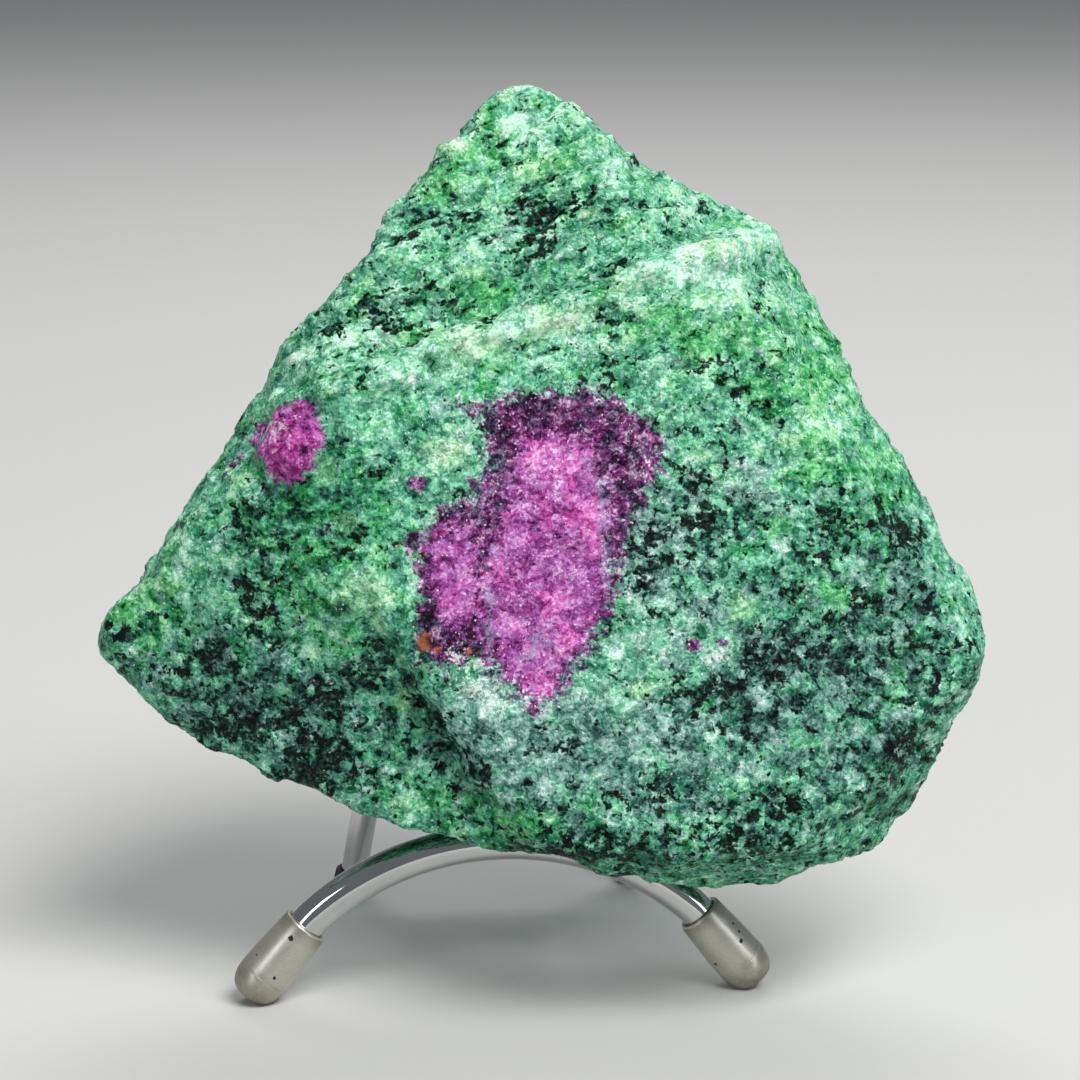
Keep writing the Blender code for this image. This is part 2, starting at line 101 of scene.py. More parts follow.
# Long lines on the face, each with its height and half width: a ridge, a trough and a valley.
LONG_LINES = (
    ([(31, 43), (22, 38.5), (14, 36.5), (2.5, 32), (-8.5, 27.5), (-19.5, 23.3), (-34, 19)], 1.0, 1.6),
    ([(31, 47), (18, 41), (3, 36), (-10, 32), (-22, 28)], -0.9, 2.6),
    ([(-29, 19.5), (-28, 14), (-26.5, 6), (-25, -2), (-22.5, -10), (-18.5, -18.5), (-13.5, -27), (-9, -34)],
     -0.8, 1.8),
)
SKIN_INSET = 0.12  # millimetres, so that the roughened skin keeps to its size
BOX_MARGIN = 0.02 * MM

# Marks on the lump's front: millimetres right of and above its middle, square to the face.
RUBY_CORE = [
    (-0.5, 14), (2.8, 14.2), (5.4, 13.2), (7.6, 11.7), (8.1, 7.3), (8.5, 2), (8.8, -4.4), (7.7, -8),
    (6.2, -10.9), (4.4, -13.9), (2.4, -16.6), (0.8, -19.2), (-0.5, -20.1), (-2.5, -19.2), (-3.7, -17.2),
    (-5.6, -14.5), (-7.3, -10.8), (-7.7, -7.3), (-7.6, -4.4), (-6.5, 0), (-4.5, 3.3), (-3.7, 6),
    (-3.7, 10.1), (-2.5, 12.6),
]
RUBY_LOBE = [
    (-11.5, 2.4), (-9.7, 1.7), (-8.4, 0), (-8.4, -4.6), (-8.9, -8.9), (-10.5, -11.2), (-12, -10.1),
    (-13.3, -7.2), (-14.1, -3.9), (-14.2, -0.6), (-13.4, 1.5),
]
RUBY_MARGIN = [
    (-10.2, 18.7), (-7.8, 19), (-5.2, 19.8), (-1.9, 20.4), (2.8, 20.3), (7.8, 20.5), (10.8, 19),
    (14.1, 16.6), (16.1, 14.9), (16.6, 12.6), (15.9, 10.1), (14.5, 7.1), (12.7, 3.7), (11.5, -0.7),
    (10.4, -6), (8.9, -10.2), (7, -13.9), (4.4, -17.6), (1.7, -20.3), (0.1, -22.1), (-1.2, -22.6),
    (-2.5, -20.5), (-5.2, -17.9), (-7.8, -15.5), (-11.8, -16.2), (-14.7, -15.7), (-16.5, -13.2),
    (-16.2, -9.9), (-15.7, -5.9), (-16.3, -2), (-15.2, 2), (-12.4, 5.3), (-9.1, 7.3), (-7.3, 10.6),
    (-7.3, 13.9), (-8.1, 16.8), (-9.9, 17.9),
]
RUBY_KNOB = [
    (-30.7, 19.3), (-29.5, 17.6), (-28.8, 15.2), (-28.9, 13.1), (-30, 11), (-31.5, 9.1), (-33.3, 8.1),
    (-35.1, 8.9), (-36.6, 10.7), (-38, 12.9), (-38.7, 14.7), (-37.3, 16.3), (-34.1, 17.2), (-32.4, 18.4),
]
# Spots: right, up, half width, half height, and a strength where it isn't 1.
TINY_RUBIES = [
    (-16.3, 8.1, 1.2, 1.1), (-17, 0, 0.7, 2.4), (20.5, -13.2, 1.2, 0.9), (24.3, -13, 0.7, 0.5),
    (-41.2, 10.8, 0.5, 0.5), (-41.8, 9.4, 0.7, 0.4), (-36.5, 7.5, 0.5, 0.5), (-40.2, 12.1, 0.7, 0.5),
]
# On the hidden back.
BACK_RUBIES = [(15, 14, 3.4, 2.4), (19.5, 11, 1.6, 1.3), (-14, 33, 1.7, 1.2), (-29, -8, 2.2, 1.6)]
FRONT_SPOTS = {
    "pink": [
        (-33, 13, 4, 4.5, 0.7), (-0.7, 12.4, 1.5, 1.7), (2.2, -7.3, 1.1, 0.9), (3.6, -12.6, 1.3, 1.1),
        (-5.2, -4, 1.1, 1.1), (6.8, 3.3, 1.3, 1.6), (0.8, -19.2, 0.8, 1.9), (13.4, 15.3, 1.6, 1.3),
        (11, 12, 1.1, 2.7), (9.4, 18, 1.9, 1.1), (2.8, 10, 2.1, 2.1), (-11.8, -15.2, 1.1, 0.7),
        # The last spot is a painted highlight on the upper left of the small ruby knob.
        (-15.1, -15.8, 0.8, 0.5), (-35.1, 14.3, 1.6, 2.2),
    ],
    "lilac": [
        (-9.1, 16.6, 1.9, 1.1), (-5.2, 12, 1.3, 2.1), (-8.1, 6, 1.3, 1.9), (8.4, 6, 0.7, 4),
        (8.9, -2, 0.7, 4), (4.1, -16.3, 1.3, 1.9), (-6.5, -8.6, 0.8, 5.3), (0.8, -12.6, 1.9, 1.3),
        (6.8, 10, 1.1, 1.9), (-1.2, -14.6, 1.3, 1.1),
    ],
    "stain": [
        (2.8, 16.6, 8, 1.3, 0.5), (-3.2, 18.6, 4, 1.1), (12.1, 6, 1.6, 4), (-9.1, -12.6, 1.6, 1.9),
        # The last spot darkens the lower right side of the small ruby knob.
        (-7.8, 15.2, 2.7, 1.3), (-14.4, -7.2, 0.8, 4), (-2, 2.9, 1.9, 0.3), (-31.4, 12.6, 2.6, 5, 0.75),
    ],
    "white": [
        (6, 15.3, 0.7, 0.5), (-8.6, 19.1, 0.8, 0.4), (-2.5, 16.6, 0.7, 0.4), (-11.1, -14.5, 1.9, 1.3),
        (-8.5, -19.1, 2.7, 1.6), (16, -14.6, 1.3, 1.1), (23.3, -14.6, 1.6, 1.2), (-8.1, -15.8, 1.1, 0.8),
        (-5.2, -20.8, 1.9, 1.1), (-13.1, 11.9, 1.3, 1.1), (-14.7, -12.5, 0.7, 0.7), (-5.2, 8.6, 0.5, 0.4),
        # The last spot is a painted highlight: the white glare on the upper left of the small ruby knob.
        (-35.2, 15.4, 2.3, 1.5, 0.8),
    ],
    "rust": [(-15.2, -12.8, 0.8, 1.2), (-13.3, -13.8, 0.5, 0.5), (-9.1, -14.1, 0.7, 0.4)],
    "leaf": [
        (-23, -6.8, 4.6, 3.2), (26.8, -8.5, 2.1, 1.7), (-12.3, 12.3, 2.7, 1.9), (-9.2, 36.5, 2.1, 1.1),
        (-28.2, 9.9, 1.6, 1.9), (2.8, 29.2, 2.4, 1.1), (-4.7, 61.5, 1.3, 0.8), (-25.6, 3.3, 1.3, 1.6),
        (-12, 54, 2.1, 1.1), (21.4, 12, 1.3, 0.8), (13.4, -19.2, 1.6, 1.1), (-18.7, -34.9, 1.6, 1.1),
        (-21, -11, 0.8, 2.4), (-18.9, -15.5, 0.8, 2.2), (-18.4, -20.5, 1.3, 1.3),
        (-8.7, 26.3, 5.5, 1.7, 0.8), (3.5, 30.5, 4, 1.3, 0.8), (23, 39.6, 3, 2, 0.8),
        (7, 44.5, 1.6, 1, 0.8), (-19, 38, 1.8, 1, 0.8), (14, 31, 1.5, 1.1, 0.8), (33.5, 14, 1.4, 1.1, 0.8),
        (-30.5, -14, 1.2, 1.6, 0.8),
    ],
    "dark": [
        (-2.6, 60.8, 1.9, 0.9), (8.1, 49.4, 1.2, 0.8), (1.2, 45, 4, 1.2), (-10.3, 44.4, 2.1, 1.1),
        (-0.5, 41, 2.1, 1.6), (-18.4, 41.1, 2.7, 1.3), (18.9, 44, 2.7, 0.8), (10.9, 37.4, 1.9, 1.1),
        (9.1, 34.3, 1.3, 0.9), (-22.9, 31.5, 2.1, 1.1), (-16.5, 27.7, 3.5, 1.1), (-6.4, 29.9, 1.3, 1.1),
        (7.6, 29.8, 2.1, 1.9), (29.5, 37, 1.1, 1.1), (29.5, 32.1, 0.8, 0.8), (31.7, 25.6, 1.2, 1.2),
        (13, 24.6, 1.1, 0.8), (8.8, 23.6, 1.1, 0.8), (20.6, 23.2, 1.2, 0.9), (25.8, 20.9, 1.6, 1.2),
        (-24, 22.3, 1.9, 1.1), (30.1, 18.8, 0.8, 0.7), (40.2, 17.6, 1.2, 0.8), (15.1, 13.6, 1.2, 1.9),
        (-21.4, 9.8, 1.7, 1.1), (21.2, 7.7, 1.9, 1.3), (-39.9, 3.1, 2, 2.1), (-24, 0.3, 1.9, 2.1),
        (-37.4, -7.3, 2.9, 3.5), (-56.8, -12.2, 2.1, 1.2), (13.4, -0.4, 2.4, 1.8, 0.7),
        (15.2, 0.7, 2.1, 1.6), (13, -5.7, 2.4, 2.1), (39.4, 3.2, 2.1, 2.1), (48.7, 1.6, 1.9, 2.9),
        (34.3, -12.5, 2.4, 2.7), (30, -15.8, 3.2, 2.1), (21.8, -19.2, 4.5, 2.1), (13, -19.2, 1.9, 1.6),
        (26.8, -25, 2.1, 2.4), (41.6, -16.3, 2.7, 2.1), (58.1, -12.6, 1.2, 1.6), (48.4, -26.1, 1.9, 2.1),
        (23.5, -37.7, 2.9, 2.4), (32.1, -34.8, 2.1, 1.9), (29.5, -40.4, 1.9, 1.3), (2.9, -26.7, 2.7, 1.9),
        (-43.3, -23.9, 3.5, 2.1), (-32.7, -24.7, 3, 2, 0.7), (-31.9, -31.6, 3.2, 1.9),
        (-23.8, -17.6, 2, 1.8, 0.7), (-8.5, -31.5, 1.9, 2.7), (-45.1, -14.8, 2.1, 1.9),
        (-28.1, -20.8, 2.9, 2.4), (-13.2, -26.3, 1.6, 3.5), (-17.8, -19.3, 1.3, 3.2), (2.8, 45.7, 5.3, 1.1),
        (14.9, 45.7, 4, 0.8), (-14.7, 44.5, 1.9, 0.9), (-28, 28.8, 2.7, 1.1), (-4.5, 26.5, 3.2, 0.7),
        (26, 11.3, 1.3, 1.1), (37.4, -2, 2.4, 1.6), (43.8, -7.3, 2.1, 1.9), (51.5, -7.3, 1.9, 2.1),
        (21.4, 3.3, 3.5, 2.1), (26.8, 5.3, 1.9, 1.6), (45.7, 6, 1.6, 1.9), (15.3, -33.7, 2.1, 1.9),
        (8.1, -32.3, 2.7, 1.3), (53.5, -19.3, 1.3, 2.1), (41.5, -10, 1.9, 1.6), (8.1, 21.3, 3.5, 0.8),
        (33.3, -6, 1.6, 1.3), (18.1, -2, 1.9, 1.3), (-21.5, -14.4, 2, 1.6), (-9.5, -29.5, 1.8, 3.2),
        (4.8, -40.5, 3.2, 1.6), (-27, -28, 2, 1.2), (-39, -26.5, 1.8, 1.2), (13.2, 52.5, 1.3, 0.9),
        (16.3, 43.2, 1.2, 0.9), (30.4, 34.5, 1.2, 1), (34.3, 36.1, 0.9, 1.2), (30.4, 23.6, 1.6, 1),
        (35, 46.5, 1, 1), (9.2, 36.1, 1.3, 0.9), (22, 46, 1, 0.8), (25, 31, 1, 0.8),
    ],
    # Pale spots of the rock. Those along the ridge across the upper face are partly a painted highlight,
    # where the ridge catches the light.
    "pale": [
        (13.1, 44.2, 2.7, 1.1), (29.3, 42.5, 2.9, 1.9), (24.6, 39.3, 3.5, 1.6), (3.3, 29.7, 4, 1.1),
        (-0.9, 29.2, 2.1, 1.1), (34, 32.9, 2.1, 1.9), (38.5, 14.6, 2.7, 1.9), (-46.1, -0.7, 2.9, 1.9),
        (-23.5, -6, 2.9, 2.4), (23.2, -15, 2.1, 1.9), (8.2, 40.9, 3.5, 0.9), (20.1, 35.9, 4, 1.6),
        (13.4, 35.2, 4, 1.1), (24.1, 32.6, 2.7, 1.9), (0.1, 53.5, 3.2, 1.1), (6.8, 26.6, 2.7, 1.1),
        (38.7, -2, 1.3, 1.1), (-6.5, -20.5, 5.3, 1.9), (4.1, -20.5, 2.7, 1.9), (-49.4, -5.4, 1.9, 1.9),
        (-12.4, 12.6, 2.4, 1.6), (14.7, 10, 1.3, 1.6), (-27.2, 26.7, 2.7, 0.8), (-15.8, 21.9, 4, 1.1),
        (-1.2, 57.9, 2.9, 1.1), (46.2, 12.9, 1.3, 2.9), (30.8, 27.3, 1.3, 1.3), (-36.5, 17.5, 1.6, 1.3),
        (-38.9, 8.7, 1.9, 1.6), (13.4, -12.6, 3.2, 1.9),
    ],
    "banded": [(-4, 46, 31.2, 21.6), (-22, 30, 19.2, 9.6)],
}
# Soft spots and zones that reach round the sides: lush green, dense with black specks, deep
# coloured, minty pale, and greyish.
SIDE_ZONES = {
    "lush": [
        (1.2, 51.4, 3.5, 1.6), (18.5, 30.6, 2.9, 1.9), (37.6, 21.1, 2.1, 1.6), (-52.3, -8.8, 1.9, 2.1),
        (-30.5, -9.8, 2.9, 2.9), (-26.9, 3.7, 1.6, 2.4), (-18.7, -21, 1.3, 1.6), (-3.9, -36.1, 3.5, 1.3),
        (26.5, -8.7, 1.6, 1.1), (-9.4, 53.6, 3.2, 2.1), (-13.4, 48, 3.2, 1.6), (-7.9, 34.1, 5.3, 1.3),
        (8.1, 33.8, 1.9, 1.3), (30.7, 20.6, 3.2, 2.1), (38.7, -7.3, 2.7, 2.7), (48.8, -12.7, 1.9, 2.7),
        (24, -20.5, 2.7, 1.9), (45.5, -19.3, 2.7, 1.9), (-26.5, -12.6, 1.9, 1.9), (-15.9, 28.6, 2.4, 1.1),
        (21.4, 26, 2.1, 1.9), (13.4, 28.6, 2.7, 1.3), (-23.9, 32.8, 1.9, 1.3), (-40.1, -12.7, 2.1, 1.6),
        (-24.1, -33, 3.5, 1.3), (-13.3, -34.2, 2.7, 1.6), (34.7, 10, 2.1, 2.7), (-31.5, 6, 1.9, 1.9),
        (-30, 1, 9, 10, 0.5), (-54, -9, 6, 4.5, 0.9), (37, 22, 6, 10, 0.8), (26, 27, 7, 5, 0.7),
        (-10, 54, 5, 5, 0.7), (-3, -38, 12, 4, 0.6), (46, 9, 5, 6, 0.6), (44, -6, 5, 5, 0.6),
    ],
    "speckled": [
        (-30.8, -20.8, 14.7, 9.3, 0.6), (-37.7, 0.7, 5.3, 8, 0.75), (-27.6, -2, 6.7, 5.3, 0.5),
        (-42.3, -15.5, 12, 6, 0.8), (-18.7, -28.9, 8, 6.7, 0.6), (-15.8, -20.6, 3.2, 8, 0.6),
        (8.1, -40.3, 14.7, 4), (30.6, -39.1, 12, 5.3, 0.8), (16.1, 6, 6, 8, 0.45),
        (13.4, -1.3, 5.3, 4, 0.5), (24.1, -2, 8, 6.7, 0.45), (41.4, 0.7, 8, 6.7, 0.45),
        (49, 0, 4, 4.7, 0.7), (34.7, -12.6, 9.3, 6.7, 0.6), (26.6, -20.5, 9.3, 5.3, 0.65),
        (48.8, -15.3, 6.7, 8, 0.7), (45.5, -31.4, 8, 8, 0.7), (16, -33.7, 8, 4.7, 0.5),
        (-19.2, 32.7, 8, 3.5, 0.55), (0.8, 44.3, 8, 4, 0.6), (-14.7, 43.8, 6, 1.9, 0.4),
        (8.1, 25.9, 6.7, 3.5, 0.35), (21.4, 23.6, 6.7, 2.9, 0.4), (-8, 56.5, 8, 2.7, 0.35),
        (-5.2, 36.8, 9.3, 1.9, 0.3), (-31.6, 16.5, 2.7, 4, 0.4), (4, -42, 12, 4), (50, -28, 6, 9, 0.9),
        (-52, -16, 5, 4, 0.8), (-32, 2, 8, 9, 0.5), (-40, -24, 14, 5, 0.9), (20, -40, 14, 5, 0.6),
        (-28, -30, 8, 5, 0.9), (8, -41, 8, 4, 1.1),
    ],
    "deep": [
        (-32.2, -23.6, 16, 9.3), (-42.2, -14.1, 13.3, 6, 0.7), (-15.9, -23.4, 4, 9.3, 0.9),
        (8.1, -41, 16, 3.5, 0.9), (47.4, -34.5, 8, 8, 0.7), (52.1, -19.3, 5.3, 6.7, 0.5),
        (-35.8, -2, 6.7, 8, 0.6), (0.1, 44.3, 6.7, 3.2, 0.3), (36, -18, 17, 15, 0.75),
        (14, -30, 14, 10, 0.35), (46, 0, 8, 9, 0.8), (21.3, -25.8, 16, 9.3, 0.5), 
        (49.4, -10, 6.7, 12, 0.6), (10.8, 8.7, 4, 8, 0.5),
        (-30, 4, 12, 12, 0.85), (2.8, -28, 14, 9, 0.6), (40, -22, 14, 12, 0.75), (4, -42, 13, 4),
        (46, -30, 8, 9, 0.8),
    ],
    "mint": [
        (-9.1, 26.5, 10.7, 2.1, 0.8), (0.1, 30.1, 6.7, 1.9, 0.9), (21.4, 36.6, 5.3, 3.5, 0.7),
        (29.3, 42.5, 4, 2.7, 0.9), (10.9, 50.6, 5.3, 1.9, 0.7), (-44, 0, 4, 6.7, 0.9),
        (-48.3, -6, 3.5, 2.1, 0.7), (40, 14.6, 2.7, 2.7, 0.8), (55.6, -3.4, 2.9, 6.7, 0.6),
        (2.8, -28.4, 10.7, 5.3, 0.15), (23.3, -14.6, 3.2, 2.4, 0.9), (-1.2, 59.3, 5.3, 2.7, 0.5),
        (42.9, 10, 2.4, 5.3, 0.5), (-32, 23.5, 4, 1.9, 0.4), (-12.4, 12.6, 2.9, 2.1, 0.8),
        (-4, 56, 6, 4, 0.5), (22, 39, 9, 3, 0.6), (-50, -4, 4, 2, 0.7),
    ],
    "grey": [
        (2.8, -27.1, 12, 6.7, 0.9), (14.8, 0.7, 6.7, 9.3, 0.7), (20, -9.9, 8, 5.3, 0.6),
        (24.1, 38, 5.3, 3.5, 0.4), (37.3, -28.5, 9.3, 6.7, 0.5), (-5.2, -20.5, 6.7, 4, 0.8),
        (26.7, 8.7, 6.7, 6.7, 0.4), (-32.3, -26.3, 12, 6.7, 0.4), (-13.1, 15.2, 5.3, 5.3, 0.3),
        (34, -20, 20, 14, 0.6), (14, -27, 14, 10, 0.7), (48, -8, 8, 12, 0.5), (-38, -20, 18, 9, 0.45),
        (-4, -26, 8, 6), (4, -22, 6, 4, 0.8),
    ],
}
MARK_NAMES = ("ruby_core", "ruby_margin", "hollow", *FRONT_SPOTS, *SIDE_ZONES)

# Chips in the caps' lacquer: place in the shared frame and radius, in millimetres.
CAP_CHIPS = [
    (-35, -16.8, 10.1, 0.38), (-37.4, -17.6, 4.7, 0.22), (-39.7, -15.8, 7.4, 0.16), (-39, -15.5, 8.3, 0.13),
    (26.2, -15.8, 9.8, 0.17), (27, -16.1, 8.7, 0.2), (27.2, -16.7, 7.6, 0.3), (23.8, -16.3, 4.1, 0.26),
]

# ---- small helpers


def srgb(colour):
    """A hex colour such as "#3f9f55" as linear red, green, blue and alpha."""
    parts = [int(colour[i : i + 2], 16) / 255 for i in (1, 3, 5)]
    linear = [c / 12.92 if c <= 0.04045 else ((c + 0.055) / 1.055) ** 2.4 for c in parts]
    return (*linear, 1.0)


def add(tree, kind, inputs=(), out=0, **settings):
    """Adds a node with its settings and what goes in, by place or by name: values, hex
    colours or other nodes' outputs. Gives back one output, or the node where out is None."""
    node = tree.nodes.new(kind)
    for name, value in settings.items():
        if name != "ramp":
            setattr(node, name, value)
            continue
        stops = node.color_ramp.elements
        while len(stops) < len(value):
            stops.new(0.5)
        for stop, (place, colour) in zip(stops, value):
            stop.position, stop.color = place, srgb(colour)
    pairs = inputs.items() if isinstance(inputs, dict) else enumerate(inputs)
    for name, value in pairs:
        if isinstance(value, bpy.types.NodeSocket):
            tree.links.new(value, node.inputs[name])
        elif value is not None:
            node.inputs[name].default_value = srgb(value) if isinstance(value, str) else value
    return node if out is None else node.outputs[out]


def new_material(name):
    """An empty material and its node tree."""
    material = bpy.data.materials.new(name)
    material.use_nodes = True
    material.node_tree.nodes.clear()
    return material, material.node_tree


def close_material(material, inputs):
    """Ends a material: its shader, with those inputs, goes to the output."""
    shader = add(material.node_tree, "ShaderNodeBsdfPrincipled", inputs)
    add(material.node_tree, "ShaderNodeOutputMaterial", (shader,), out=None)
    return material


def new_object(name, mesh):
    obj = bpy.data.objects.new(name, mesh)
    bpy.context.scene.collection.objects.link(obj)
    return obj


def baked(obj, name):
    """The object's shape with its modifiers, as a plain mesh on a new object."""
    graph = bpy.context.evaluated_depsgraph_get()
    mesh = bpy.data.meshes.new_from_object(obj.evaluated_get(graph))
    mesh.name = name
    bpy.data.objects.remove(obj)
    return new_object(name, mesh)


def finish_piece(obj, slot, *nodes):
    """Puts a finished piece on the part's one body, in place of those CAD nodes."""
    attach(obj, "root")
    if nodes:
        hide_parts(*nodes)


def smoothstep(low, high, x):
    t = np.clip((x - low) / (high - low), 0, 1)
    return t * t * (3 - 2 * t)


# ---- camera, floor and light


def place_camera():
    data = bpy.data.cameras.new("view")
    data.sensor_width, data.lens = SENSOR_WIDTH, LENS
    data.clip_start, data.clip_end = 0.01, 60
    camera = new_object("view", data)
    level = cos(VIEW_RISE)
    back = Vector((sin(VIEW_TURN) * level, -cos(VIEW_TURN) * level, sin(VIEW_RISE)))
    camera.location = VIEW_TARGET + back * VIEW_DISTANCE * MM
    camera.rotation_euler = (-back).to_track_quat("-Z", "Y").to_euler()
    bpy.context.scene.camera = camera


def soft_light(name, place, size, power, colour="#ffffff"):
    """A soft box at that place in metres, facing the lump."""
    data = bpy.data.lights.new(name, "AREA")
    data.shape, data.size, data.size_y = "RECTANGLE", *size
    data.energy, data.color = power, srgb(colour)[:3]
    light = new_object(name, data)
    light.location = place
    light.rotation_euler = (Vector((0, 0, 0.06)) - Vector(place)).to_track_quat("-Z", "Y").to_euler()


def make_studio():
    scene = bpy.context.scene
    scene.view_settings.view_transform = "Standard"
    world = bpy.data.worlds.new("studio")
    world.use_nodes = True
    scene.world = world
    background = world.node_tree.nodes["Background"]
    background.inputs["Color"].default_value = srgb("#c4c8cf")
    background.inputs["Strength"].default_value = 0.32
    soft_light("key", (0.38, -0.60, 1.12), (0.8, 0.55), 17.0, "#fffdf8")
    soft_light("right strip", (0.95, -0.85, 0.38), (0.22, 0.8), 2.8, "#f4f8ff")
    soft_light("left strip", (-0.85, -0.85, 0.40), (0.22, 0.8), 2.8, "#f4f8ff")
    soft_light("rim", (0.15, 0.75, 0.95), (0.9, 0.4), 6.0)
    mesh = bpy.data.meshes.new("floor")
    half = 9.0
    corners = [(-half, -half, 0), (half, -half, 0), (half, half, 0), (-half, half, 0)]
    mesh.from_pydata(corners, [], [range(4)])
    material, _ = new_material("matt painted board")
    mesh.materials.append(close_material(material, {"Base Color": "#c9c9c7", "Roughness": 0.85}))
    new_object("floor", mesh)


# ---- the lump's skin

LUMP = (
    Matrix.Translation(LUMP_CENTRE)
    @ Matrix.Rotation(LUMP_TURN, 4, "Z")
    @ Matrix.Rotation(pi / 2 - LUMP_LEAN, 4, "X")
)
TO_LUMP = LUMP.inverted()  # x to the right, y up the face, z out of the front


def in_lump_axes(points):
    """Points in metres, as millimetres along the lump's own axes."""
    turn = np.array(TO_LUMP.to_3x3())
    return (points @ turn.T + np.array(TO_LUMP.translation)) / MM


def away_from_line(x, y, line):
    """How far each place is from a bent line."""
    nearest = np.full(len(x), 1e9)
    for (ax, ay), (bx, by) in zip(line, line[1:]):
        along = ((x - ax) * (bx - ax) + (y - ay) * (by - ay)) / ((bx - ax) ** 2 + (by - ay) ** 2)
        along = np.clip(along, 0, 1)
        nearest = np.minimum(nearest, np.hypot(x - ax - along * (bx - ax), y - ay - along * (by - ay)))
    return nearest


def inside_by(x, y, outline):
    """How far inside an outline each place is, negative outside."""
    closed = [*outline, outline[0]]
    nearest = away_from_line(x, y, closed)
    within = np.zeros(len(x), bool)
    for (ax, ay), (bx, by) in zip(closed, closed[1:]):
        if ay != by:
            crosses = ((ay > y) != (by > y)) & (x < (bx - ax) * (y - ay) / (by - ay) + ax)
            within ^= crosses
    return np.where(within, nearest, -nearest)


def spots_at(x, y, spots):
    """A spot's strength in its middle, falling smoothly to 0 outside it."""
    found = np.zeros(len(x))
    for right, up, half_width, half_height, *strength in spots:
        spread = ((x - right) / half_width) ** 2 + ((y - up) / half_height) ** 2
        found = np.maximum(found, np.exp(-0.7 * spread) * (strength or [1])[0])
    return found


def shuffled(cells, seed):
    """Three even random numbers from 0 to 1 for each whole-number cell."""
    base = cells @ np.array([127.1, 311.7, 74.7]) + seed * 17.17
    return np.stack([np.modf(np.abs(np.sin(base + k * 37.9) * 43758.5453))[0] for k in range(3)], -1)


def chipped(points, size, seed):
    """Relief of a broken granular face: each grain ends in its own small tilted plane. Gives
    a height of about -0.5 to 0.5."""
    scaled = points / size
    home = np.floor(scaled)
    best = np.full(len(points), 1e9)
    height = np.zeros(len(points))
    for step in np.ndindex(3, 3, 3):
        cell = home + np.array(step) - 1
        away = scaled - cell - shuffled(cell, seed)
        distance = (away**2).sum(-1)
        tilt = shuffled(cell, seed + 5) - 0.5
        nearer = distance < best
        best = np.where(nearer, distance, best)
        height = np.where(nearer, (away * tilt).sum(-1) + 0.35 * tilt[:, 0], height)
    return height


def lattice_noise(points, size, seed):
    """Smooth noise of about that size, from -1 to 1."""
    scaled = points / size
    home = np.floor(scaled)
    part = scaled - home
    blend = part * part * (3 - 2 * part)
    total = np.zeros(len(points))
    for corner in np.ndindex(2, 2, 2):
        corner = np.array(corner)
        weight = np.prod(np.where(corner == 1, blend, 1 - blend), -1)
        total += weight * shuffled(home + corner, seed)[:, 0]
    return total * 2 - 1


def fine_skin():
    """The CAD lump, merged, cut up finely and worn smooth, ready to be roughened."""
    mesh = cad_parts["ruby_zoisite_lump"].data.copy()
    bm = bmesh.new()
    bm.from_mesh(mesh)
    bmesh.ops.remove_doubles(bm, verts=bm.verts, dist=1e-6)
    bm.to_mesh(mesh)
    bm.free()
    mesh.materials.clear()
    obj = new_object("skin", mesh)
    remesh = obj.modifiers.new("fine", "REMESH")
    remesh.mode, remesh.voxel_size = "VOXEL", SKIN_VOXEL
    wear = obj.modifiers.new("wear", "SMOOTH")
    wear.factor, wear.iterations = 0.5, SKIN_WEAR_PASSES
    return baked(obj, "zoisite_skin")


def own_marks(p, front, wide, hidden):
    """The marks that have a place of their own, each by name. A ruby's marks are how far
    inside it a place is, and the others are a strength."""
    x, y, _ = p.T
    knob = inside_by(x, y, RUBY_KNOB)
    tiny, back = (10 * spots_at(x, y, spots) ** 0.3 - 8 for spots in (TINY_RUBIES, BACK_RUBIES))
    core = np.maximum.reduce([inside_by(x, y, RUBY_CORE), inside_by(x, y, RUBY_LOBE), 1.6 * knob - 0.2])
    margin = np.maximum.reduce([inside_by(x, y, RUBY_MARGIN), 1.8 * knob + 0.5, tiny])
    away = -20 * (1 - front)
    back = back - 20 * hidden
    marks = {
        "ruby_core": np.maximum(np.clip(core, -8, 8) + away, back - 1.2),
        "ruby_margin": np.maximum(np.clip(margin, -8, 8) + away, back),
    }
    for spots, reach in ((FRONT_SPOTS, front), (SIDE_ZONES, wide)):
        marks |= {name: spots_at(x, y, places) * reach for name, places in spots.items()}
    return marks


def broken_relief(p, marks, front):
    """The height of the broken skin in millimetres: tilted faces, ledges and three long lines."""
    x, y, _ = p.T
    in_ruby = smoothstep(-0.5, 0.8, marks["ruby_margin"])
    coarse = chipped(p + 0.8 * lattice_noise(p, 2.1, 3)[:, None], FACET, 11)
    medium = chipped(p + 0.3 * lattice_noise(p, 1.1, 5)[:, None], CHIP, 23)
    soft = lattice_noise(p, 3.4, 31) + 0.5 * lattice_noise(p, 1.5, 37)
    height = FACET_HEIGHT * coarse + CHIP_HEIGHT * medium + SOFT_HEIGHT * soft
    height += 0.10 * marks["pale"] - 0.28 * marks["dark"] * (1 - in_ruby)
    height += in_ruby * 0.25 * medium
    rise = (y * cos(BANDING_ANGLE) - x * sin(BANDING_ANGLE)) / LAYER_STEP + 0.5 * lattice_noise(p, 7.0, 41)
    layer = np.modf(np.abs(rise + 40))[0]
    ledge = smoothstep(0.0, 0.75, layer) - smoothstep(0.75, 1.0, layer) - 0.5
    height += LAYER_HEIGHT * marks["banded"] * ledge
    for line, lift, half_width in LONG_LINES:
        height += lift * front * np.exp(-(np.minimum(away_from_line(x, y, line) / half_width, 5)) ** 2)
    return height


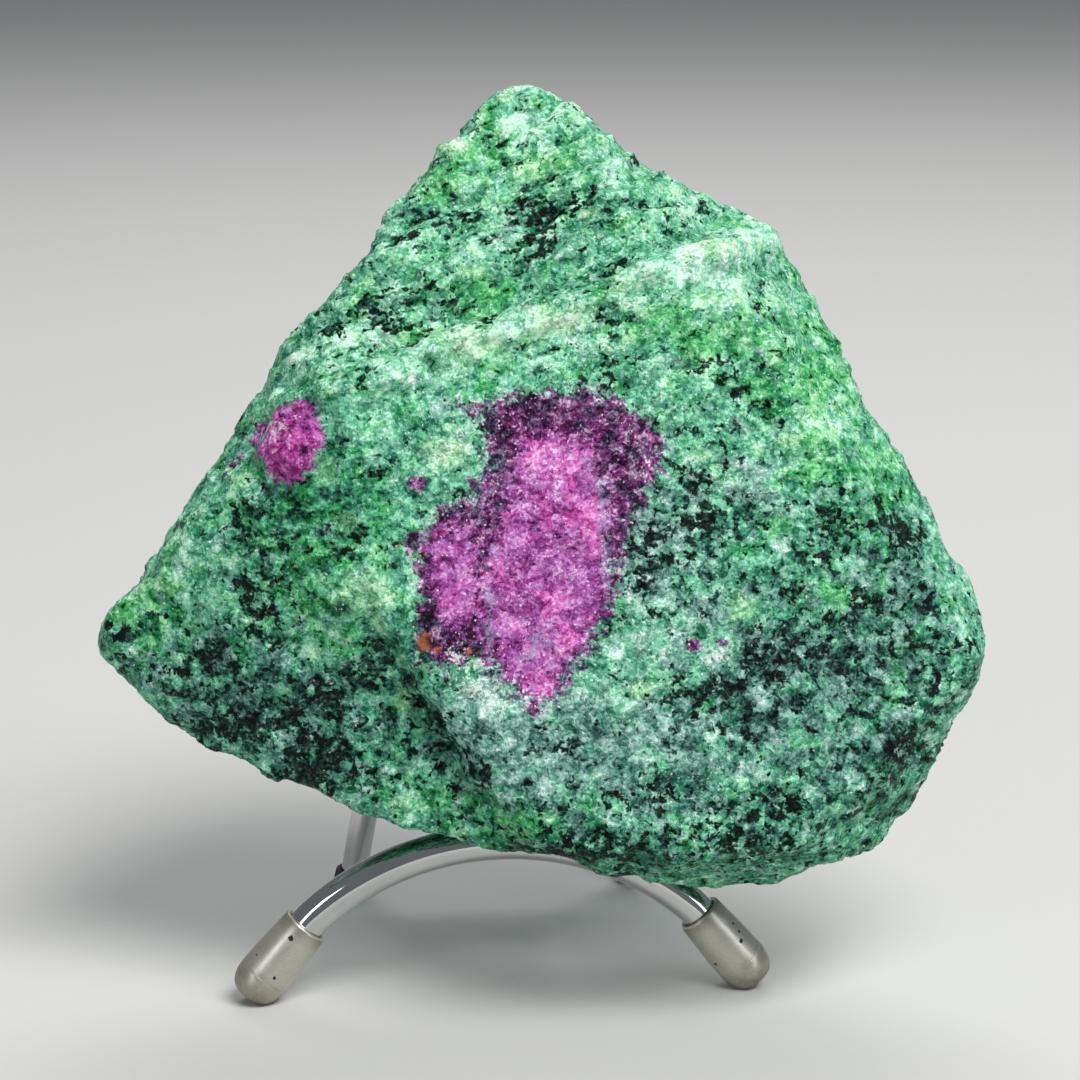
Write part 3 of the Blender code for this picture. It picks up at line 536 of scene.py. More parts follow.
def add_hidden_zones(p, marks, wide):
    """Clouds of each mark for the sides and the back, which have no marks of their own."""
    cloud, drift = lattice_noise(p, 15.0, 51), lattice_noise(p, 11.0, 53)
    for name, amount in (
        ("speckled", smoothstep(-0.1, 0.6, cloud)),
        ("deep", smoothstep(-0.2, 0.7, cloud + 0.4 * drift)),
        ("mint", 0.8 * smoothstep(0.0, 0.7, -cloud)),
        ("lush", 0.8 * smoothstep(0.0, 0.6, drift)),
        ("grey", 0.8 * smoothstep(0.0, 0.6, lattice_noise(p, 12.0, 57))),
        ("banded", smoothstep(-0.3, 0.3, lattice_noise(p, 20.0, 59))),
        ("dark", smoothstep(0.25, 0.8, lattice_noise(p, 4.0, 61) + 0.4 * cloud)),
    ):
        marks[name] = marks[name] + (1 - wide) * amount


def make_skin():
    obj = fine_skin()
    mesh = obj.data
    co, normals = np.empty((2, len(mesh.vertices) * 3))
    mesh.vertices.foreach_get("co", co)
    mesh.vertex_normals.foreach_get("vector", normals)
    co, normals = co.reshape(-1, 3), normals.reshape(-1, 3)
    p = in_lump_axes(co)
    depth = p[:, 2]
    out = (normals @ np.array(TO_LUMP.to_3x3()).T)[:, 2]
    front = smoothstep(-0.05, 0.25, out) * smoothstep(-6, 0, depth)
    wide = smoothstep(-0.45, -0.05, out) * smoothstep(-12, -5, depth)
    marks = own_marks(p, front, wide, smoothstep(-0.5, 0.0, out))
    height = broken_relief(p, marks, front)
    # How far each place lies down in a hollow of the broken skin; the finish darkens the colour there as
    # painted shade.
    marks["hollow"] = np.clip(-height / 1.2, -1, 1)
    add_hidden_zones(p, marks, wide)
    co += normals * ((height - SKIN_INSET) * MM)[:, None]
    low, high = (np.array(corner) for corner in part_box("ruby_zoisite_lump"))
    co = np.clip(co, low + BOX_MARGIN, high - BOX_MARGIN)
    mesh.vertices.foreach_set("co", co.ravel())
    for name, values in marks.items():
        mesh.attributes.new(name, "FLOAT", "POINT").data.foreach_set("value", values.astype(np.float32))
    mesh.shade_smooth()
    mesh.materials.append(zoisite("rough ruby in zoisite"))
    finish_piece(obj, "zoisite", "ruby_zoisite_lump")


# ---- finishes

# Settings and values that several nodes share.
SMOOTH = {"interpolation_type": "SMOOTHSTEP"}
TINT = {"out": 2, "data_type": "RGBA"}
HALF = (0.5, 0.5, 0.5)


def zoisite(name):
    """Anyolite: granular green zoisite, black amphibole and opaque ruby, broken and left
    rough. Every grain, under half a millimetre across, is one crystal with its own colour
    and its own cleaved face, so the surface looks like coarse sugar and glints in points.
    Further glints are painted into the colour as pale points, and the colour is darkened in
    the skin's hollows as painted shade."""
    material, t = new_material(name)
    place = add(t, "ShaderNodeTexCoord", out="Object")
    p = add(t, "ShaderNodeMapping", {
        "Vector": place,
        "Location": TO_LUMP.translation / MM,
        "Rotation": TO_LUMP.to_euler(),
        "Scale": (1 / MM,) * 3,
    })
    warp = add(t, "ShaderNodeTexNoise", {"Vector": p, "Scale": 1 / WARP, "Detail": 3}, out="Color")
    warp = add(t, "ShaderNodeVectorMath", (warp, HALF), operation="SUBTRACT")
    warped = add(t, "ShaderNodeVectorMath", {0: warp, 1: (0.6,) * 3, 2: p}, operation="MULTIPLY_ADD")
    grain, crystal, glint = (
        add(t, "ShaderNodeTexVoronoi", {"Vector": at, "Scale": 1 / size}, out=None).outputs
        for at, size in ((warped, GRAIN), (warped, CRYSTAL), (p, GLINT))
    )
    lots, crystal_lots, glint_lots = (
        add(t, "ShaderNodeSeparateColor", (cell["Color"],), out=None).outputs
        for cell in (grain, crystal, glint)
    )
    mark = {m: add(t, "ShaderNodeAttribute", attribute_name=m, out="Fac") for m in MARK_NAMES}

    def field(size, shift, detail=3.0, rough=0.7, at=warped):
        """Even noise of that size in millimetres, spread to about -1 to 1."""
        moved = add(t, "ShaderNodeVectorMath", (at, (shift, -shift, 2 * shift)), operation="ADD")
        noise = add(t, "ShaderNodeTexNoise", {
            "Vector": moved, "Scale": 1 / size, "Detail": detail, "Roughness": rough})
        return add(t, "ShaderNodeMapRange", {"Value": noise, 1: 0.28, 2: 0.72, 3: -1.0, 4: 1.0}, clamp=False)

    def weigh(*terms):
        """The sum of each value times its weight, with a last plain number."""
        total = terms[-1]
        for value, weight in terms[:-1]:
            total = add(t, "ShaderNodeMath", (value, weight, total), operation="MULTIPLY_ADD")
        return total

    patch = field(PATCH, 31, 2.0, 0.55)
    small = field(SMALL, 57, 3.0, 0.6)
    tiny = field(TINY, 67)
    specks = field(SPECK, 131, 2.0, 0.5)
    streaked = add(t, "ShaderNodeMapping", {
        "Vector": warped, "Rotation": (0, 0, BANDING_ANGLE), "Scale": (3.4, 0.9, 1.3)}, vector_type="TEXTURE")
    streaks = field(STREAK, 13, 3.0, 0.58, streaked)
    clumps = field(CLUMP, 47, 3.0, 0.58)
    clumped = add(t, "ShaderNodeMix", {0: mark["banded"], 2: clumps, 3: streaks})

    # The green ground, in four tones. It is darkened in the skin's hollows as painted shade, and lightened on
    # the pale spots, which along the ridge are partly a painted highlight.
    level = weigh(
        (patch, 0.13), (small, 0.22), (tiny, 0.1), (clumped, -0.1), (lots[0], 0.26),
        (crystal_lots[0], 0.24), (mark["pale"], 0.1), (mark["mint"], 0.08), (mark["deep"], -0.17),
        (mark["speckled"], -0.08), (mark["hollow"], -0.11), (mark["banded"], 0.08), 0.373)
    green, lush, leaf, grey = (add(t, "ShaderNodeValToRGB", (level,), ramp=ramp) for ramp in (
        [(0, "#02120e"), (0.14, "#0b342a"), (0.28, "#1b5a48"), (0.42, "#357f66"), (0.56, "#54a582"),
         (0.70, "#78c5a2"), (0.84, "#9fdebe"), (1, "#cff5e2")],
        [(0, "#04180b"), (0.2, "#0c4423"), (0.42, "#1f8247"), (0.62, "#4aae69"), (0.82, "#8ad797"),
         (1, "#c6f2c4")],
        [(0, "#0c2a18"), (0.25, "#33714a"), (0.5, "#69ad80"), (0.75, "#a0daa9"), (1, "#e2f9e0")],
        [(0, "#08151a"), (0.2, "#214141"), (0.42, "#4a7a70"), (0.62, "#7aa79c"), (0.82, "#aed1c8"),
         (1, "#eef9f6")],
    ))
    lushness = weigh((mark["lush"], 0.7), (field(3.4, 83), 0.7), (lots[1], 0.25), (mark["grey"], -0.3), -0.05)
    greyness = weigh(
        (mark["grey"], 1), (mark["speckled"], 0.15), (field(2.8, 101), 0.7), (lots[2], 0.3), -0.1)
    leafiness = weigh((mark["leaf"], 1.1), (field(2.2, 151), 0.45), (lots[2], 0.15), -0.1)
    rock = green
    for amount, low, high, tone in (
        (lushness, 0.0, 0.6, lush), (greyness, 0.2, 0.85, grey), (leafiness, 0.25, 0.75, leaf)
    ):
        amount = add(t, "ShaderNodeMapRange", {"Value": amount, 1: low, 2: high}, **SMOOTH)
        rock = add(t, "ShaderNodeMix", {0: amount, 6: rock, 7: tone}, **TINT)

    # Painted glints: pale points put into the colour. Then the black amphibole, which is a little denser in
    # the skin's hollows as painted shade.
    spark = weigh((glint_lots[0], 1), (mark["pale"], 0.03), (mark["deep"], -0.02), 0.0)
    spark = add(t, "ShaderNodeMapRange", {"Value": spark, 1: 0.972, 2: 1.0})
    painted_glints = add(t, "ShaderNodeMath", (spark, 0.8), operation="MULTIPLY")
    darkness = weigh(
        (clumped, 0.5), (specks, 0.34), (crystal_lots[1], 0.36), (lots[1], 0.24), (tiny, 0.1),
        (mark["dark"], 0.38), (mark["hollow"], 0.05), (mark["banded"], 0.08), (mark["speckled"], 0.38),
        (mark["mint"], -0.14), (mark["pale"], -0.2), (mark["leaf"], -0.4), -0.225)
    is_dark = add(t, "ShaderNodeMapRange", {"Value": darkness, 1: 0.38, 2: 0.62}, **SMOOTH)
    black_level = weigh((lots[0], 0.65), (crystal_lots[2], 0.35), (tiny, 0.12), 0.0)
    black = add(t, "ShaderNodeValToRGB", (black_level,), ramp=[
        (0, "#010303"), (0.35, "#020908"), (0.55, "#081b17"), (0.75, "#18372f"), (0.9, "#2e5a4e"),
        (1, "#4c8272")])
    # The painted glints go into the rock's colour.
    rock = add(t, "ShaderNodeMix", {0: painted_glints, 6: rock, 7: "#e4f5ec"}, **TINT)
    rock = add(t, "ShaderNodeMix", {0: is_dark, 6: rock, 7: black}, **TINT)

    # The ruby: a wine and blue-grey rim round a violet and magenta core.
    rim_level = weigh(
        (lots[0], 0.3), (crystal_lots[0], 0.24), (small, 0.3), (tiny, 0.22), (mark["pale"], 0.3),
        (mark["stain"], -0.12), 0.21)
    core_level = weigh(
        (lots[0], 0.34), (crystal_lots[0], 0.26), (patch, 0.06), (small, 0.16), (tiny, 0.14),
        (mark["pink"], 0.14), (mark["stain"], -0.35), 0.16)
    wine, rim_grey, violet, magenta = (add(t, "ShaderNodeValToRGB", (at,), ramp=ramp) for at, ramp in (
        (rim_level, [(0, "#04030a"), (0.2, "#180a1e"), (0.38, "#451647"), (0.55, "#7c2f72"),
                     (0.72, "#a5649d"), (0.86, "#c9a9cd"), (1, "#f3e8f4")]),
        (rim_level, [(0, "#070a12"), (0.3, "#2c2e44"), (0.6, "#6f7390"), (1, "#e6ecf4")]),
        (core_level, [(0, "#310e34"), (0.22, "#722d72"), (0.45, "#a553a3"), (0.65, "#c083c3"),
                      (0.85, "#dfbbe2"), (1, "#f8eefb")]),
        (core_level, [(0, "#420e38"), (0.22, "#87266f"), (0.45, "#bb4ba1"), (0.65, "#d47dc3"),
                      (0.85, "#ebb4df"), (1, "#fdeaf8")]),
    ))
    ragged = weigh((field(1.8, 19, 4.0, 0.7), 1.8), (lots[1], 1.6), -0.8)
    bluish, hot, lilac, in_core, in_margin, white, rusty = (
        add(t, "ShaderNodeMapRange", {"Value": weigh(*terms), 1: low, 2: high, 4: most}, **SMOOTH)
        for low, high, most, terms in (
            (0.05, 0.8, 0.75, ((field(1.6, 171), 0.9), (lots[1], 0.4), (mark["lilac"], 0.5), 0.0)),
            (-0.1, 0.6, 1.0, (
                (field(1.9, 191), 0.6), (crystal_lots[1], 0.6), (mark["pink"], 0.8), -0.3)),
            (0.3, 0.9, 0.7, (
                (mark["lilac"], 0.9), (field(2.4, 71), 0.6), (lots[2], 0.4), (mark["pink"], -0.5), -0.2)),
            (-0.7, 0.9, 1.0, ((mark["ruby_core"], 1), (ragged, 1), (mark["pink"], 1.5), 0.3)),
            (-0.5, 0.6, 1.0, ((mark["ruby_margin"], 1), (ragged, 1), 0.0)),
            (0.35, 0.8, 0.8, ((mark["white"], 0.8), (small, 0.35), (tiny, 0.45), (lots[1], 0.6), -0.45)),
            (0.35, 0.8, 0.85, ((mark["rust"], 1), (small, 0.3), (lots[1], 0.3), -0.1)),
        )
    )
    rim = add(t, "ShaderNodeMix", {0: bluish, 6: wine, 7: rim_grey}, **TINT)
    core = add(t, "ShaderNodeMix", {0: hot, 6: violet, 7: magenta}, **TINT)
    core = add(t, "ShaderNodeMix", {0: lilac, 6: core, 7: "#958fb4"}, **TINT)
    ruby = add(t, "ShaderNodeMix", {0: in_core, 6: rim, 7: core}, **TINT)
    # Painted glints on the ruby too.
    ruby = add(t, "ShaderNodeMix", {0: painted_glints, 6: ruby, 7: "#f4e4f4"}, **TINT)
    colour = rock
    for amount, tone in ((in_margin, ruby), (white, "#dfe6e2"), (rusty, "#a8602f")):
        colour = add(t, "ShaderNodeMix", {0: amount, 6: colour, 7: tone}, **TINT)

    # Each grain and each crystal has a face of its own.
    face = add(t, "ShaderNodeNewGeometry", out="Normal")
    for cell, tilt in ((grain, 0.6), (crystal, 0.45)):
        turned = add(t, "ShaderNodeVectorMath", (cell["Color"], HALF), operation="SUBTRACT")
        face = add(t, "ShaderNodeVectorMath", {0: turned, 1: (tilt,) * 3, 2: face}, operation="MULTIPLY_ADD")
    face = add(t, "ShaderNodeVectorMath", (face,), operation="NORMALIZE")
    relief = weigh(
        (grain["Distance"], -0.5), (glint["Distance"], -0.3), (tiny, 0.35), (small, 0.6),
        (is_dark, -0.4), 1)
    bump = add(t, "ShaderNodeBump", {
        "Strength": 0.9, "Distance": 0.16 * MM, "Height": relief, "Normal": face})
    gloss = weigh((lots[2], 0.34), 0.24)
    return close_material(material, {
        "Base Color": colour, "Roughness": gloss, "Normal": bump, "IOR": 1.7, "Specular IOR Level": 0.07})


def chrome(name):
    """Chromium plate on bent steel tube, polished: a mirror with faint wipe marks."""
    material, t = new_material(name)
    place = add(t, "ShaderNodeTexCoord", out="Object")
    smears = add(t, "ShaderNodeTexNoise", {"Vector": place, "Scale": 1 / (6 * MM), "Detail": 3})
    specks = add(t, "ShaderNodeTexNoise", {"Vector": place, "Scale": 1 / (0.5 * MM), "Detail": 2})
    rough = add(t, "ShaderNodeMapRange", {"Value": smears, 1: 0.35, 2: 0.75, 3: 0.03, 4: 0.11})
    bump = add(t, "ShaderNodeBump", {"Strength": 0.04, "Distance": 0.02 * MM, "Height": specks})
    tone = add(t, "ShaderNodeValToRGB", {0: smears}, ramp=[(0.3, "#c2c4c6"), (0.8, "#d2d2d1")])
    return close_material(material, {"Base Color": tone, "Metallic": 1.0, "Roughness": rough, "Normal": bump})


def cap_coat(name):
    """Moulded cap in a champagne-grey metallic lacquer: satin, with a fine flake, chipped in
    spots down to the black under it, rubbed pale on the lip and brown at the mouth and end."""
    material, t = new_material(name)
    place = add(t, "ShaderNodeTexCoord", out="Object")
    up = add(t, "ShaderNodeAttribute", attribute_name="up_axis", out="Fac")
    flake = add(t, "ShaderNodeTexNoise", {"Vector": place, "Scale": 1 / (0.15 * MM), "Detail": 1})
    cloud = add(t, "ShaderNodeTexNoise", {
        "Vector": place, "Scale": 1 / (2.2 * MM), "Detail": 4, "Roughness": 0.65})
    tone = add(t, "ShaderNodeValToRGB", {0: flake}, ramp=[(0.3, "#b3b0a4"), (0.7, "#c6c3b8")])
    end = add(t, "ShaderNodeMapRange", {"Value": up, 1: 0.3, 2: 5.0, 3: 1.3, 4: 0.0})
    mouth = add(t, "ShaderNodeMapRange", {"Value": up, 1: 10.6, 2: 12.6, 3: 0.0, 4: 0.9})
    browned = add(t, "ShaderNodeMath", (end, mouth), operation="MAXIMUM")
    browned = add(t, "ShaderNodeMath", (browned, cloud), operation="MULTIPLY")
    tone = add(t, "ShaderNodeMix", {0: browned, 6: tone, 7: "#5e5139"}, **TINT)
    lip = add(t, "ShaderNodeMapRange", {"Value": up, 1: 12.5, 2: 12.75, 3: 0.0, 4: 0.8})
    tone = add(t, "ShaderNodeMix", {0: lip, 6: tone, 7: "#cfcabb"}, **TINT)
    jag = add(t, "ShaderNodeTexNoise", {"Vector": place, "Scale": 1 / (0.35 * MM), "Detail": 2})
    chip = 0.0
    for x, y, z, radius in CAP_CHIPS:
        middle = (x * MM, y * MM, z * MM)
        away = add(t, "ShaderNodeVectorMath", (place, middle), operation="DISTANCE", out="Value")
        reach = add(t, "ShaderNodeMath", (jag, 0.6 * MM, away), operation="MULTIPLY_ADD")
        near = add(t, "ShaderNodeMapRange", {
            "Value": reach, 1: (radius + 0.34) * MM, 2: (radius + 0.28) * MM})
        chip = add(t, "ShaderNodeMath", (chip, near), operation="MAXIMUM")
    tone = add(t, "ShaderNodeMix", {0: chip, 6: tone, 7: "#100e0b"}, **TINT)
    metal = add(t, "ShaderNodeMapRange", {"Value": chip, 3: 0.75, 4: 0.0})
    rough = add(t, "ShaderNodeMapRange", {"Value": cloud, 1: 0.3, 2: 0.7, 3: 0.33, 4: 0.44})
    bump = add(t, "ShaderNodeBump", {"Strength": 0.06, "Distance": 0.05 * MM, "Height": flake})
    return close_material(material, {
        "Base Color": tone, "Metallic": metal, "Roughness": rough, "Normal": bump})


def rubber(name):
    """Moulded black rubber, matt, greyed where it has rubbed on shelves."""
    material, t = new_material(name)
    place = add(t, "ShaderNodeTexCoord", out="Object")
    pores = add(t, "ShaderNodeTexNoise", {"Vector": place, "Scale": 1 / (0.25 * MM), "Detail": 3})
    dust = add(t, "ShaderNodeTexNoise", {"Vector": place, "Scale": 1 / (1.5 * MM), "Detail": 3})
    tone = add(t, "ShaderNodeValToRGB", {0: dust}, ramp=[(0.35, "#161616"), (0.8, "#34332f")])
    rough = add(t, "ShaderNodeMapRange", {"Value": dust, 3: 0.6, 4: 0.85})
    bump = add(t, "ShaderNodeBump", {"Strength": 0.3, "Distance": 0.05 * MM, "Height": pores})
    return close_material(material, {"Base Color": tone, "Roughness": rough, "Normal": bump})


# ---- geometry node trees


def new_tree(name, sizes):
    """A geometry tree with a shape in and out, and a named input for each size."""
    tree = bpy.data.node_groups.new(name, "GeometryNodeTree")
    tree.interface.new_socket("Shape", in_out="INPUT", socket_type="NodeSocketGeometry")
    for size, kind in sizes.items():
        tree.interface.new_socket(size, in_out="INPUT", socket_type="NodeSocket" + kind)
    tree.interface.new_socket("Shape", in_out="OUTPUT", socket_type="NodeSocketGeometry")
    return tree, add(tree, "NodeGroupInput", out=None).outputs


def close_tree(tree, shape, finish, smooth):
    """Ends a tree: copies made real, shading set, and the finish put on."""
    shape = add(tree, "GeometryNodeRealizeInstances", (shape,))
    shape = add(tree, "GeometryNodeSetShadeSmooth", {0: shape, 2: smooth})
    shape = add(tree, "GeometryNodeSetMaterial", {"Geometry": shape, "Material": finish})
    add(tree, "NodeGroupOutput", (shape,), out=None)
    return tree


def tube_tree():
    """Sweeps a round section along a path of edges."""
    tree, size = new_tree("bent tube", {
        "Radius": "Float", "Step": "Float", "Sides": "Int", "Finish": "Material"})
    path = add(tree, "GeometryNodeMeshToCurve", (size["Shape"],))
    path = add(tree, "GeometryNodeResampleCurve", {"Curve": path, "Length": size["Step"]}, mode="LENGTH")
    ring = add(tree, "GeometryNodeCurvePrimitiveCircle", {
        "Resolution": size["Sides"], "Radius": size["Radius"]})
    tube = add(tree, "GeometryNodeCurveToMesh", {"Curve": path, "Profile Curve": ring, "Fill Caps": True})
    return close_tree(tree, tube, size["Finish"], True)


def weld_tree():
    """Lays overlapping drops of weld metal along a path of edges."""
    tree, size = new_tree("weld bead", {
        "Drop radius": "Float", "Drop spacing": "Float", "Seed": "Int", "Finish": "Material"})
    path = add(tree, "GeometryNodeMeshToCurve", (size["Shape"],))
    points = add(tree, "GeometryNodeCurveToPoints", {
        "Curve": path, "Length": size["Drop spacing"]}, mode="LENGTH")
    drop = add(tree, "GeometryNodeMeshIcoSphere", {"Radius": size["Drop radius"], "Subdivisions": 2})
    swell = add(tree, "FunctionNodeRandomValue", {2: 0.85, 3: 1.1, "Seed": size["Seed"]}, out=1)
    drops = add(tree, "GeometryNodeInstanceOnPoints", {"Points": points, "Instance": drop, "Scale": swell})
    return close_tree(tree, drops, size["Finish"], True)


def grown(name, mesh, tree, values):
    """Runs a tree on a mesh with those named sizes, and keeps the result as a plain mesh."""
    obj = new_object(name, mesh)
    modifier = obj.modifiers.new(tree.name, "NODES")
    modifier.node_group = tree
    for item in tree.interface.items_tree:
        if item.item_type == "SOCKET" and item.in_out == "INPUT" and item.name in values:
            modifier[item.identifier] = values[item.name]
    return baked(obj, name)


def path_mesh(name, points, closed=False):
    mesh = bpy.data.meshes.new(name)
    edges = [(i, i + 1) for i in range(len(points) - 1)]
    if closed:
        edges.append((len(points) - 1, 0))
    mesh.from_pydata(points, edges, [])
    return mesh


# ---- the stand's paths


def arch_half():
    """Centre line of the right half of the arch, flat: a wide bend, then the ankle."""
    points = [Vector((0, 0))]
    heading = 0.0
    for radius, angle in ((ARCH_BEND_R, ARCH_HALF_ANGLE), (ANKLE_BEND_R, FOOT_ANGLE - ARCH_HALF_ANGLE)):
        steps = round(angle / BEND_STEP)
        turn = angle / steps
        for _ in range(steps):
            middle = heading + turn / 2
            points.append(points[-1] + 2 * radius * sin(turn / 2) * Vector((cos(middle), -sin(middle))))
            heading += turn
    return points


def arch_point(x, height):
    """A point of the front arch's plane, which leans back from its feet on the floor."""
    return Vector((STAND_X + x, STAND_Y + height * sin(ARCH_LEAN), height * cos(ARCH_LEAN)))


def arch_path():
    half = [Vector((p.x, p.y + CROWN_HEIGHT / cos(ARCH_LEAN))) for p in arch_half()]
    mouth = half[-1]
    half.append(mouth + (CAP_BORE_DEPTH - 0.3 * MM) * Vector((cos(FOOT_ANGLE), -sin(FOOT_ANGLE))))
    both = [Vector((-p.x, p.y)) for p in reversed(half[1:])] + half
    return [arch_point(p.x, p.y) for p in both], mouth


def prop_point(x, height):
    """A point of the rear prop's plane, which leans forward from its feet."""
    return Vector((PROP_X + x, STAND_Y + PROP_FOOT_BACK - height * sin(PROP_LEAN), height * cos(PROP_LEAN)))


def leg_way(side):
    """The way up a leg of the prop: its rise over one millimetre."""
    over = PROP_FOOT_HALF_WIDTH - tan(PROP_SPLAY) * MM
    return prop_point(side * over, MM) - prop_point(side * PROP_FOOT_HALF_WIDTH, 0)


def prop_path():
    """Left foot, up the leg, round the bend, and down."""
    tangent_height = (PROP_FOOT_HALF_WIDTH - PROP_TOP_BEND_R * cos(PROP_SPLAY)) / tan(PROP_SPLAY)
    middle = tangent_height - PROP_TOP_BEND_R * sin(PROP_SPLAY)
    steps = round((pi - 2 * PROP_SPLAY) / BEND_STEP)
    foot_x = PROP_FOOT_HALF_WIDTH - PROP_FOOT_LIFT * tan(PROP_SPLAY)
    points = [(-foot_x, PROP_FOOT_LIFT)]
    for i in range(steps + 1):
        angle = pi - PROP_SPLAY - (pi - 2 * PROP_SPLAY) * i / steps
        points.append((PROP_TOP_BEND_R * cos(angle), middle + PROP_TOP_BEND_R * sin(angle)))
    points.append((foot_x, PROP_FOOT_LIFT))
    return [prop_point(*p) for p in points]


# ---- the stand's pieces


def make_tube(tree, name, path, radius, finish, node):
    obj = grown(name, path_mesh(name, path), tree, {
        "Radius": radius, "Step": SWEEP_STEP, "Sides": WIRE_SIDES, "Finish": finish})
    obj.data.set_sharp_from_angle(angle=radians(40))
    finish_piece(obj, "chrome", node)


def lathed(name, profile, steps, matrix, finish):
    """A closed shape turned about its axis from (radius, height) points, set in place, with
    what would reach under the floor pressed flat."""
    bm = bmesh.new()
    rings = []
    for radius, height in profile:
        if radius == 0:
            rings.append([bm.verts.new((0, 0, height))])
            continue
        rings.append([
            bm.verts.new((radius * cos(2 * pi * i / steps), radius * sin(2 * pi * i / steps), height))
            for i in range(steps)
        ])
    for a, b in zip(rings, rings[1:]):
        for i in range(steps):
            j = (i + 1) % steps
            if len(a) == 1:
                bm.faces.new((a[0], b[i], b[j]))
            elif len(b) == 1:
                bm.faces.new((a[i], b[0], a[j]))
            else:
                bm.faces.new((a[i], b[i], b[j], a[j]))
    bmesh.ops.transform(bm, matrix=matrix, verts=bm.verts)
    for v in bm.verts:
        v.co.z = max(v.co.z, 0.0)
    bmesh.ops.recalc_face_normals(bm, faces=bm.faces)
    mesh = bpy.data.meshes.new(name)
    bm.to_mesh(mesh)
    bm.free()
    mesh.shade_smooth()
    mesh.set_sharp_from_angle(angle=radians(50))
    mesh.materials.append(finish)
    heights = [height / MM for radius, height in profile for _ in range(steps if radius else 1)]
    mesh.attributes.new("up_axis", "FLOAT", "POINT").data.foreach_set("value", heights)
    return new_object(name, mesh)


def cap_profile():
    """From inside the mouth, over its thin lip, down the flare, over a faint crease where
    the end starts, and round the end."""
    profile = [(0, 10.7), (2.5, 10.7), (2.52, 12.3), (2.62, 12.7), (2.85, 12.85)]
    profile += [(3.05, 12.83), (3.2, 12.7), (3.25, 12.45)]
    for i in range(1, 9):
        profile.append((3.25 + 0.42 * sin(i / 8 * pi / 2), 12.45 - 8.6 * i / 8))
    profile += [(3.68, 3.8), (3.6, 3.68), (3.66, 3.55)]
    for i in range(1, 13):
        angle = (pi / 2) * i / 12
        profile.append((1.55 + 2.1 * cos(angle) ** 0.9, 3.5 * (1 - sin(angle) ** 0.95)))
    profile.append((0, 0))
    return [(r * MM, h * MM) for r, h in profile]


def upright_at(place, axis):
    """The matrix that stands a lathed piece at that place, along that axis."""
    return Matrix.Translation(place) @ axis.to_track_quat("Z", "Y").to_matrix().to_4x4()


def make_caps(finish):
    _, mouth = arch_path()
    end = mouth + CAP_LENGTH * Vector((cos(FOOT_ANGLE), -sin(FOOT_ANGLE)))
    rise = sin(FOOT_ANGLE)
    for side, word in ((-1, "left"), (1, "right")):
        axis = Vector((-side * cos(FOOT_ANGLE), rise * sin(ARCH_LEAN), rise * cos(ARCH_LEAN)))
        place = upright_at(arch_point(side * end.x, end.y), axis)
        obj = lathed(f"flared_cap_{word}", cap_profile(), CAP_SIDES, place, finish)
        finish_piece(obj, "cap_metal", f"foot_cap_{word}")


def make_tips(finish):
    profile = [
        (0, 2.5), (2.02, 2.5), (2.05, 2.8), (2.2, 2.97), (2.45, 3.0), (2.65, 2.9), (2.75, 2.65),
        (2.83, 1.2), (2.86, 0.6), (2.86, -0.9), (0, -0.9),
    ]
    profile = [(r * MM, h * MM) for r, h in profile]
    for side, word in ((-1, "left"), (1, "right")):
        place = upright_at(prop_point(side * PROP_FOOT_HALF_WIDTH, 0), leg_way(side))
        obj = lathed(f"rubber_tip_{word}", profile, TIP_SIDES, place, finish)
        finish_piece(obj, "tip_rubber", f"prop_tip_{word}")


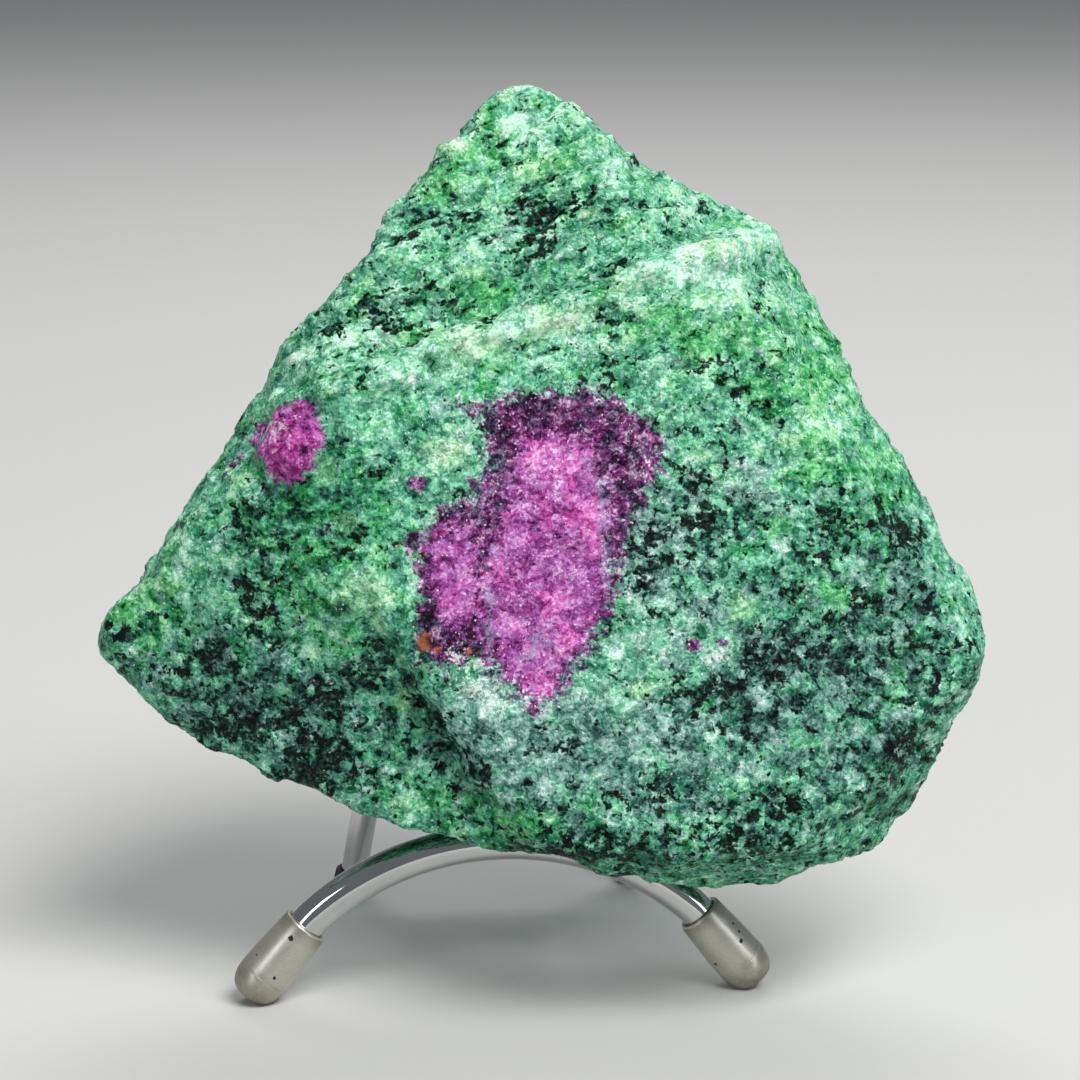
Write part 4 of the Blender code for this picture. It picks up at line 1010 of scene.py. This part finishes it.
def weld_ring(joint, bar, wire, wire_radius):
    """Where a bar's surface meets the round wire it is welded to: joint is on the wire's
    centre line, bar points from there along the bar, wire runs along the wire."""
    bar, wire = bar.normalized(), wire.normalized()
    across = bar.cross(wire).normalized()
    ring = []
    for i in range(WELD_RING_POINTS):
        angle = 2 * pi * i / WELD_RING_POINTS
        sideways = WIRE_R * cos(angle)
        out = sqrt(max(wire_radius**2 - sideways**2, 0.0))
        ring.append(joint + across * sideways + wire * WIRE_R * sin(angle) + bar * (out + 0.1 * MM))
    return ring


def make_stand():
    finish = chrome("polished chromium plate")
    tube, weld = tube_tree(), weld_tree()
    path, _ = arch_path()
    make_tube(tube, "arch_tube", path, TUBE_R, finish, "front_arch")
    make_tube(tube, "prop_wire", prop_path(), WIRE_R, finish, "rear_prop")
    back = STAND_Y + PROP_FOOT_BACK - CROWN_HEIGHT * tan(PROP_LEAN)
    crown = Vector((STAND_X, STAND_Y + CROWN_HEIGHT * tan(ARCH_LEAN), CROWN_HEIGHT))
    half = PROP_FOOT_HALF_WIDTH - CROWN_HEIGHT / cos(PROP_LEAN) * tan(PROP_SPLAY)
    legs = [Vector((PROP_X + side * half, back, CROWN_HEIGHT)) for side in (-1, 1)]
    cross_middle = Vector((STAND_X, back, CROWN_HEIGHT))
    inside = Vector((WIRE_R - JOINT_OVERLAP, 0, 0))
    make_tube(tube, "cross_wire", [legs[0] + inside, legs[1] - inside], WIRE_R, finish, "cross_bar")
    behind = Vector((0, TUBE_R - JOINT_OVERLAP, 0))
    ahead = Vector((0, WIRE_R - JOINT_OVERLAP, 0))
    make_tube(tube, "keel_wire", [crown + behind, cross_middle - ahead], WIRE_R, finish, "keel_bar")
    right, forward = Vector((1, 0, 0)), Vector((0, 1, 0))
    joints = {
        "weld_cross_left": (legs[0], right, leg_way(-1), WIRE_R),
        "weld_cross_right": (legs[1], -right, leg_way(1), WIRE_R),
        "weld_keel_back": (cross_middle, -forward, right, WIRE_R),
        "weld_keel_front": (crown, forward, right, TUBE_R),
    }
    for seed, (name, joint) in enumerate(joints.items()):
        bead = grown(name, path_mesh(name, weld_ring(*joint), True), weld, {
            "Drop radius": WELD_DROP_R, "Drop spacing": WELD_DROP_STEP, "Seed": seed, "Finish": finish})
        finish_piece(bead, "chrome")
    make_caps(cap_coat("champagne grey lacquer"))
    make_tips(rubber("moulded black rubber"))


place_camera()
make_studio()
make_skin()
make_stand()
